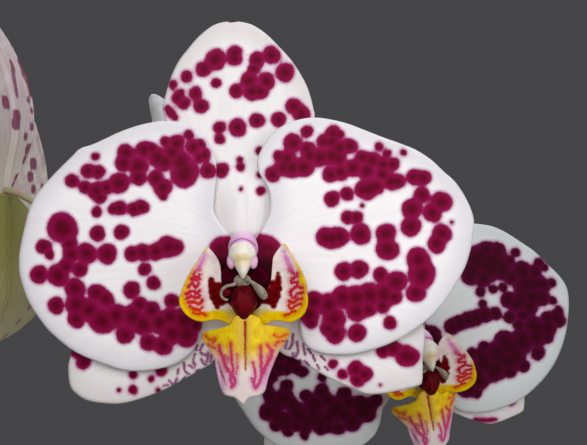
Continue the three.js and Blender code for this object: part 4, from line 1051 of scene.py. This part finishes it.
def blooms():
    front = Bloom("front", FRONT_BLOOM, fine=1.0)
    behind_lip = moved_spots([s for s in RIGHT_SEPAL_SPOTS if s[1] > -20.5], 3, 1, -1)
    tepals(front, {
        "dorsal_sepal": (DORSAL_SPOTS, ()),
        "left_petal": (LEFT_PETAL_SPOTS, ()),
        "right_petal": (RIGHT_PETAL_SPOTS, ()),
        "left_sepal": (LEFT_SEPAL_SPOTS, behind_lip, (), LEFT_SEPAL_STROKES),
        "right_sepal": (RIGHT_SEPAL_SPOTS, (), (), RIGHT_SEPAL_STROKES),
    })
    hinge = Vector((0.4, -9.6, -12))
    twist = Matrix.Translation(hinge + Vector((-1.6, 0.4, 0.3))) @ Matrix.Rotation(math.radians(-9), 4, "Y")
    twist = twist @ Matrix.Rotation(math.radians(-9), 4, "Z")
    twist = twist @ Matrix.Scale(1.06, 4) @ Matrix.Translation(-hinge)
    spread = Matrix.Translation((10.5, 0, 0)) @ Matrix.Scale(1.3, 4, (1, 0, 0)) @ Matrix.Translation((-10.5, 0, 0))
    right = Bloom(
        "right", (38.8, 0, 377.5), yaw=20, pitch=8.6, roll=-6.2, size=0.97, fine=0.78, lip=(1.0, 0.92),
        middle_lobe=twist, right_lobe=spread
    )
    small_sepal = [(0.91 * x, 0.885 * z) for x, z in RIGHT_SEPAL]
    tepals(right, {
        "dorsal_sepal": ((), moved_spots(DORSAL_SPOTS, 11)),
        "left_petal": (FAR_LEFT_PETAL_SPOTS, moved_spots([s for s in LEFT_PETAL_SPOTS if s[1] > 3], 12)),
        "right_petal": (FAR_RIGHT_PETAL_SPOTS, moved_spots([s for s in RIGHT_PETAL_SPOTS if s[0] < 9], 13, 0.6)),
        "left_sepal": ((), moved_spots(LEFT_SEPAL_SPOTS, 14)),
        "right_sepal": (FAR_RIGHT_SEPAL_SPOTS, ()),
    }, RIGHT_BLOOM_RIGHT_PETAL, small_sepal, RIGHT_BLOOM_LEFT_SEPAL, left_petal=RIGHT_BLOOM_LEFT_PETAL)
    left = Bloom("left", (-62.3, 6, 410.8), yaw=-101, fine=0.6, opening=CUPPED)
    tepals(left, {
        "dorsal_sepal": ((), moved_spots(DORSAL_SPOTS, 21, 1.4, -1), ARCHED_DORSAL_SPOTS),
        "left_petal": ((), moved_spots(RIGHT_PETAL_SPOTS, 22, 1.4, -1), CUPPED_PETAL_SPOTS),
        "right_petal": ((), moved_spots(LEFT_PETAL_SPOTS, 23, 1.4, -1)),
        "left_sepal": ((), moved_spots(RIGHT_SEPAL_SPOTS, 24, 1.4, -1), CUPPED_SEPAL_SPOTS),
        "right_sepal": ((), moved_spots(LEFT_SEPAL_SPOTS, 25, 1.4, -1)),
    }, None, [(-x - 2.6 * (-5 < x), z) for x, z in CUPPED_LEFT_SEPAL], CUPPED_LEFT_SEPAL, ARCHED_DORSAL)
    for bloom in (front, right, left):
        lip(bloom)
        column(bloom)
    pedicel(front, (-22.6, -17.5, 414), (-13, -34, 412), 9)
    pedicel(right, (15, 27, 355), (30, 27, 362), 3)
    pedicel(left, (-20, 12, 394), (-49.6, 5, 410.2), 4.4, 0.86, 1.1, (0, 0.8, 3.1))


blooms()


# ---------- plant and pot ----------

POT_HEIGHT = 116.0
POT_WALL = 6.0
POT_FOOT_RADIUS = 45.0
POT_TOP_RADIUS = 61.0
RIM_BAND = 24.0
DRAIN_HOLE_RADIUS = 5.0
DRAIN_HOLE_RING = 24.0
BARK_TOP = 101.0
BARK_FOOT = 6.4
BARK_CHIPS = 300
GOLDEN_ANGLE = math.radians(137.508)
SPIKE = [
    (1, 4, 106), (3, 13, 122), (8, 19, 152), (17, 25, 205), (23, 30, 262), (23, 32, 314), (15, 27, 355),
    (-6, 21, 378), (-20, 12, 394), (-25, -2, 407), (-22, -20, 415), (-24, -26, 421),
]
ROOTS = {
    "root_front": (3.1, 2.4, [
        (0, -5, 110), (6, -18, 112), (13, -34, 114), (20, -49, 120), (26, -63, 122.5), (31, -73, 112),
        (30, -71, 90), (32, -66, 70),
    ]),
    "root_side": (2.9, 2.2, [(5, -3, 108), (16, -10, 109.5), (28, -14, 110), (38, -15, 106), (44, -14, 92)]),
    "root_bark": (2.8, 2.2, [
        (-4, -4, 108), (-14, -14, 110), (-25, -22, 109), (-34, -29, 108), (-40, -27, 101), (-41, -20, 90),
    ]),
    "root_rear": (3.0, 2.3, [
        (-4, 5, 110), (-12, 19, 111), (-21, 33, 115), (-31, 46, 120.5), (-40, 60, 122), (-47, 73, 110),
        (-48, 73, 92), (-45, 68, 78),
    ]),
}
LEAVES = {
    "leaf_low_left": (188, 113, 186, 70, 40, -46), "leaf_low_right": (-9, 119, 180, 74, 42, -38),
    "leaf_mid_left": (168, 126, 168, 72, 54, -20), "leaf_mid_right": (14, 133, 146, 66, 58, -8),
    "leaf_young": (184, 140, 92, 42, 74, 34),
}


def stem_radius(z):
    return 8 * (1 - 0.5 * ((z - 84) / 62) ** 2)


def leaf_skin(name, light, dark, roughness, coat):
    made, n = material(name)
    own = n.vector("own")
    grain = n.group(GRAIN, {"Place": own, "Scale": 0.03})
    lines = n.noise(n.stretch(n.vector("fan"), (60.0, 1.5, 1.0)), 1.0, 2.0)
    colour = n.blend(n.ease(grain["Clouds"], 0.3, 0.7), light, dark)
    colour = n.blend(n.ease(lines, 0.4, 0.7, 0.35), colour, light)
    colour = n.blend(n.ease(n.value("midrib"), 0.1, 0.0, 0.45), colour, dark)
    n.surface(colour, roughness, n.bump(lines, 0.0008, 0.25), Coat_Weight=coat, Coat_Roughness=0.25)
    return made


def plant_skin(name, first, second, third, scale, roughness, depth, **more):
    made, n = material(name)
    grain = n.group(GRAIN, {"Place": n.vector("own"), "Scale": scale})
    colour = n.blend(n.ease(grain["Clouds"], 0.35, 0.65), first, second)
    colour = n.blend(n.ease(grain["Grain"], 0.5, 0.75, 0.6), colour, third)
    n.surface(colour, roughness, n.bump(grain["Grain"], depth, 0.6), **more)
    return made


def root_skin():
    made, n = material("root")
    grain = n.group(GRAIN, {"Place": n.vector("own"), "Scale": 0.12})
    colour = n.blend(n.ease(grain["Clouds"], 0.35, 0.65), rgb(186, 190, 172), rgb(148, 158, 134))
    colour = n.blend(n.ease(n.value("share"), 0.9, 0.97), colour, rgb(112, 140, 62))
    n.surface(colour, 0.7, n.bump(grain["Grain"], 0.0004, 0.6))
    return made


CLAY = plant_skin("clay", rgb(190, 118, 84), rgb(176, 102, 70), rgb(200, 136, 106), 0.03, 0.85, 0.0006)
BARK = plant_skin("bark_chips", rgb(138, 92, 60), rgb(92, 60, 42), rgb(176, 130, 92), 0.09, 0.9, 0.0016)
BARK_BED = plant_skin("bark_bed", rgb(58, 38, 28), rgb(40, 27, 21), rgb(84, 58, 40), 0.12, 0.95, 0.0016)
STEM = plant_skin("stem", rgb(104, 116, 58), rgb(120, 104, 62), rgb(88, 84, 52), 0.1, 0.55, 0.0004)
LEAF_TOP = leaf_skin("leaf_top", rgb(74, 112, 50), rgb(46, 82, 36), 0.38, 0.35)
LEAF_BACK = leaf_skin("leaf_underside", rgb(112, 130, 74), rgb(104, 96, 74), 0.5, 0.1)
ROOT = root_skin()


def leaf(name, azimuth, seat, length, width, rise, droop):
    """A strap leaf: its foot clasps the stem, then the blade opens out along an arching midrib."""
    steps = 88
    heading = lambda u: np.radians(lerp(rise, droop, u) + (84 - rise) * np.maximum(0, 1 - u / 0.16) ** 2)
    angles = heading((np.arange(steps) + 0.5) / steps)
    reach = stem_radius(seat) + 0.4 + np.r_[0, np.cumsum(np.cos(angles))] * length / steps
    lift = np.r_[0, np.cumsum(np.sin(angles))] * length / steps
    outward = np.array((math.cos(math.radians(azimuth)), math.sin(math.radians(azimuth)), 0))
    sideways = np.array((-outward[1], outward[0], 0))

    def place(across, along_share):
        u, v = along_share, across
        at = np.linspace(0, 1, steps + 1)
        broad = lerp(0.36, 1, np.sin(math.pi / 2 * np.minimum(1, u / 0.55)) ** 1.2)
        end = np.sqrt(np.maximum(0, 1 - np.maximum(0, (u - 0.66) / 0.3405) ** 2.4))
        half = width / 2 * broad * np.maximum(0.02, end)
        wrap = lerp(1.4, 0.34, smoothstep(u, 0, 0.42))
        bend = (2 * v - 1) * wrap
        keel = 0.9 * hump(v, 0.5, 0.05) * smoothstep(u, 0.05, 0.2) * (1 - u)
        raised = half / wrap * (1 - np.cos(bend)) - keel + 0.5 * np.sin(u * 17 + v * 3) * (2 * v - 1) ** 2
        middle = np.interp(u, at, reach) - raised * np.sin(heading(u))
        spots = outward * middle[:, None] + sideways * (half / wrap * np.sin(bend))[:, None]
        spots[:, 2] = seat + np.interp(u, at, lift) + raised * np.cos(heading(u))
        return spots

    shape = sheet(36, 96, place, toward=(0, 0, 1))

    def fields(own, seen):
        out, side = own[:, :2] @ outward[:2], own[:, :2] @ sideways[:2]
        return {"midrib": np.abs(side) / width * 2, "fan": np.stack([side / width, out / length, 0 * out], 1)}

    piece(f"{name}_blade", shape, [LEAF_TOP, LEAF_BACK], name, None, 1.8, fields)


def leaves():
    for name, measures in LEAVES.items():
        leaf(name, *measures)


def roots():
    for name, (first, last, path) in ROOTS.items():

        def radius(v, first=first, last=last):
            return lerp(first, last, v) * np.sqrt(np.clip((1.0 - v) * 26, 0.02, 1)) * (1 + 0.04 * np.sin(v * 31))

        shape = capped(tube(path, radius, 20, 24 * len(path)))
        line = open_line(path, 200)

        def fields(own, seen, line=line):
            gaps = np.linalg.norm(own[:, None, :] - line[None, :, :], axis=2)
            return {"share": gaps.argmin(1) / 199}

        piece(f"{name}_cord", shape, [ROOT], name, None, 0, fields)


def stem_and_spike():
    rings = lambda v: stem_radius(lerp(84, 146, v)) * (1 + 0.05 * np.sin(v * 40) ** 6)
    foot = capped(tube([(0, 0, 84), (0, 0, 104), (0, 0, 125), (0, 0, 146)], rings, 40, 60))
    piece("stem_rings", foot, [STEM], "stem")
    joints = (0.24, 0.44, 0.62)
    swell = lambda v: lerp(3.1, 1.5, v) + sum(0.5 * hump(v, j, 0.008) for j in joints)
    shapes = [capped(tube(SPIKE, swell, 28, 220))]
    line = open_line(SPIKE, 400)
    for joint in joints:
        start = line[int(joint * 399)] - (line[int(joint * 399) + 1] - line[int(joint * 399)]) * 0.5
        end = line[min(399, int(joint * 399) + 15)]
        across = np.cross(end - start, (0, 1, 0))
        across /= np.linalg.norm(across)
        cover = lambda v, j=joint: (lerp(3.1, 1.5, j) + 0.55) * np.sqrt(np.clip(1.05 - v, 0.02, 1))
        shapes.append(capped(tube([start, (start + end) / 2 + across * 0.4, end + across * 0.9], cover, 20, 20)))
    piece("flower_spike_stalk", joined(*shapes), [STALK], "flower_spike")


def buds():
    for name, path, radius, share in (
        ("upper_bud", [(-24.2, -26.5, 421.6), (-18.2, -26, 427.6), (-21.6, -25, 435.2)], 3.2, 0.8),
        ("lower_bud", [(-24.4, -11, 412), (-16.7, -18.5, 418), (-9, -26, 424)], 3.7, 0.5),
    ):

        def swelling(v, radius=radius, share=share):
            way = np.clip((v - (1 - share)) / share, 0, 1)
            stalk = 1.2 * (1 - smoothstep(way, 0.1, 0.9))
            return np.maximum(stalk + (radius - 0.6) * np.sin(math.pi * way**0.95) ** 0.5, 0.05)

        piece(f"{name}_skin", capped(tube(path, swelling, 28, 40)), [BUD], name)


def profile_line(profile):
    """A chain of edges through points given as (radius, height), and its corners."""
    shape = bmesh.new()
    corners = [shape.verts.new((r, 0, z)) for r, z in profile]
    for pair in zip(corners, corners[1:]):
        shape.edges.new(pair)
    return shape, corners


def turned(shape, steps):
    """Spins a profile once round the pot's axis and closes it."""
    bmesh.ops.spin(
        shape, geom=shape.verts[:] + shape.edges[:], cent=(0, 0, 0), axis=(0, 0, 1), angle=2 * math.pi, steps=steps,
        use_merge=True
    )
    bmesh.ops.remove_doubles(shape, verts=shape.verts, dist=0.002)
    bmesh.ops.recalc_face_normals(shape, faces=shape.faces)


def wall_radius(z):
    """Outer radius of the pot's wall, without its rim band."""
    return lerp(POT_FOOT_RADIUS, POT_TOP_RADIUS, z / POT_HEIGHT)


def pot():
    band = POT_HEIGHT - RIM_BAND
    profile = [
        (0, 0), (43, 0), (POT_FOOT_RADIUS, 2), (wall_radius(band), band), (63.5, band + 1), (65, POT_HEIGHT - 2),
        (63, POT_HEIGHT), (58, POT_HEIGHT), (wall_radius(POT_HEIGHT) - POT_WALL, POT_HEIGHT - 3),
        (wall_radius(POT_WALL) - POT_WALL, POT_WALL), (0, POT_WALL),
    ]
    shape, corners = profile_line(profile)
    bmesh.ops.bevel(shape, geom=corners[1:-1], offset=0.9, segments=3, profile=0.5, affect="VERTICES", material=-1)
    bmesh.ops.subdivide_edges(shape, edges=[e for e in shape.edges if e.calc_length() > 12], cuts=7)
    turned(shape, 128)
    holes = []
    for angle in (90, 210, 330):
        hole = bmesh.new()
        bmesh.ops.create_cone(
            hole, cap_ends=True, segments=32, radius1=DRAIN_HOLE_RADIUS, radius2=DRAIN_HOLE_RADIUS, depth=24
        )
        turn = math.radians(angle)
        at = (DRAIN_HOLE_RING * math.cos(turn), DRAIN_HOLE_RING * math.sin(turn), POT_WALL / 2)
        bmesh.ops.translate(hole, vec=at, verts=hole.verts)
        holes.append(hole)
    clay = loose(shape, "pot_before_holes")
    cutter = loose(joined(*holes), "drain_holes")
    cut = clay.modifiers.new("holes", "BOOLEAN")
    cut.operation, cut.solver, cut.object = "DIFFERENCE", "EXACT", cutter
    finished = bmesh.new()
    finished.from_object(clay, bpy.context.evaluated_depsgraph_get())
    for spare in (clay, cutter):
        bpy.data.objects.remove(spare)
    made = piece("pot_clay", finished, [CLAY], "pot")
    made.data.set_sharp_from_angle(angle=math.radians(35))


def loose(shape, name):
    mesh = bpy.data.meshes.new(name)
    shape.to_mesh(mesh)
    shape.free()
    made = bpy.data.objects.new(name, mesh)
    bpy.context.scene.collection.objects.link(made)
    bpy.context.view_layer.update()
    return made


def bark():
    inner = wall_radius(BARK_TOP) - POT_WALL - 0.5
    outer = wall_radius(BARK_FOOT) - POT_WALL - 0.6
    profile = [(0, BARK_FOOT), (outer, BARK_FOOT), (inner, BARK_TOP - 1), (0, BARK_TOP + 0.5)]
    bed, _ = profile_line(profile)
    turned(bed, 64)
    piece("bark_bed_fill", bed, [BARK_BED], "bark_bed")
    pick = random.Random(8)
    chips = bmesh.new()
    for i in range(BARK_CHIPS):
        reach = 9 + (inner - 14) * math.sqrt((i + 0.5) / BARK_CHIPS)
        angle = i * GOLDEN_ANGLE
        size = (pick.uniform(7, 15), pick.uniform(5, 9), pick.uniform(2.5, 5))
        chip = bmesh.new()
        bmesh.ops.create_cube(chip, size=1.0)
        bmesh.ops.scale(chip, vec=size, verts=chip.verts)
        for vert in chip.verts:
            vert.co += Vector([pick.uniform(-0.16, 0.16) * s for s in size])
        bmesh.ops.bevel(chip, geom=chip.edges[:], offset=0.7, segments=1, profile=0.5, affect="EDGES", material=-1)
        turn = Matrix.Rotation(pick.uniform(0, 6.28), 3, "Z") @ Matrix.Rotation(pick.uniform(-0.5, 0.5), 3, "X")
        turn = turn @ Matrix.Rotation(pick.uniform(-0.45, 0.45), 3, "Y")
        bmesh.ops.rotate(chip, cent=(0, 0, 0), matrix=turn, verts=chip.verts)
        height = BARK_TOP + pick.uniform(0.0, 3.2)
        bmesh.ops.translate(chip, vec=(reach * math.cos(angle), reach * math.sin(angle), height), verts=chip.verts)
        chips = joined(chips, chip)
    made = piece("bark_bed_chips", chips, [BARK], "bark_bed")
    made.data.set_sharp_from_angle(angle=math.radians(30))


pot()
bark()
stem_and_spike()
roots()
leaves()
buds()


# ---------- floor, light and camera ----------


def studio():
    made, n = material("floor")
    place = n.add("TexCoord").outputs["Object"]
    n.surface(n.blend(n.noise(place, 3.0), rgb(196, 194, 190), rgb(188, 186, 182)), 0.8)
    shape = bmesh.new()
    bmesh.ops.create_circle(shape, cap_ends=True, segments=96, radius=1.15)
    floor = loose(shape, "floor")
    floor.data.materials.append(made)
    world = bpy.data.worlds.new("studio")
    bpy.context.scene.world = world
    world.use_nodes = True
    world.node_tree.nodes["Background"].inputs["Color"].default_value = (0.06, 0.06, 0.064, 1)
    world.node_tree.nodes["Background"].inputs["Strength"].default_value = 1.0
    target = Vector((0.0, -0.03, 0.34))
    for name, at, size, power in (
        ("key", (0.0, -0.56, 0.62), 0.34, 1.55), ("front", (-0.5, -1.3, 0.9), 0.9, 4.4),
        ("fill", (1.2, -0.9, 0.7), 0.9, 8.5), ("top", (0.1, 0.2, 1.6), 1.0, 7.5), ("rear", (-0.3, 1.5, 0.9), 1.2, 14),
    ):
        light = bpy.data.lights.new(name, "AREA")
        light.size, light.energy = size, power
        lamp = bpy.data.objects.new(name, light)
        lamp.location = at
        lamp.rotation_euler = (target - Vector(at)).to_track_quat("-Z", "Y").to_euler()
        bpy.context.scene.collection.objects.link(lamp)
    lens = bpy.data.cameras.new("camera")
    lens.lens, lens.sensor_width = 116.5, 36.0
    lens.clip_start, lens.clip_end = 0.01, 30
    camera = bpy.data.objects.new("camera", lens)
    camera.location = EYE * MM
    camera.rotation_euler = (math.radians(90), 0, 0)
    bpy.context.scene.collection.objects.link(camera)
    bpy.context.scene.camera = camera
    bpy.context.scene.view_settings.view_transform = "Standard"


studio()
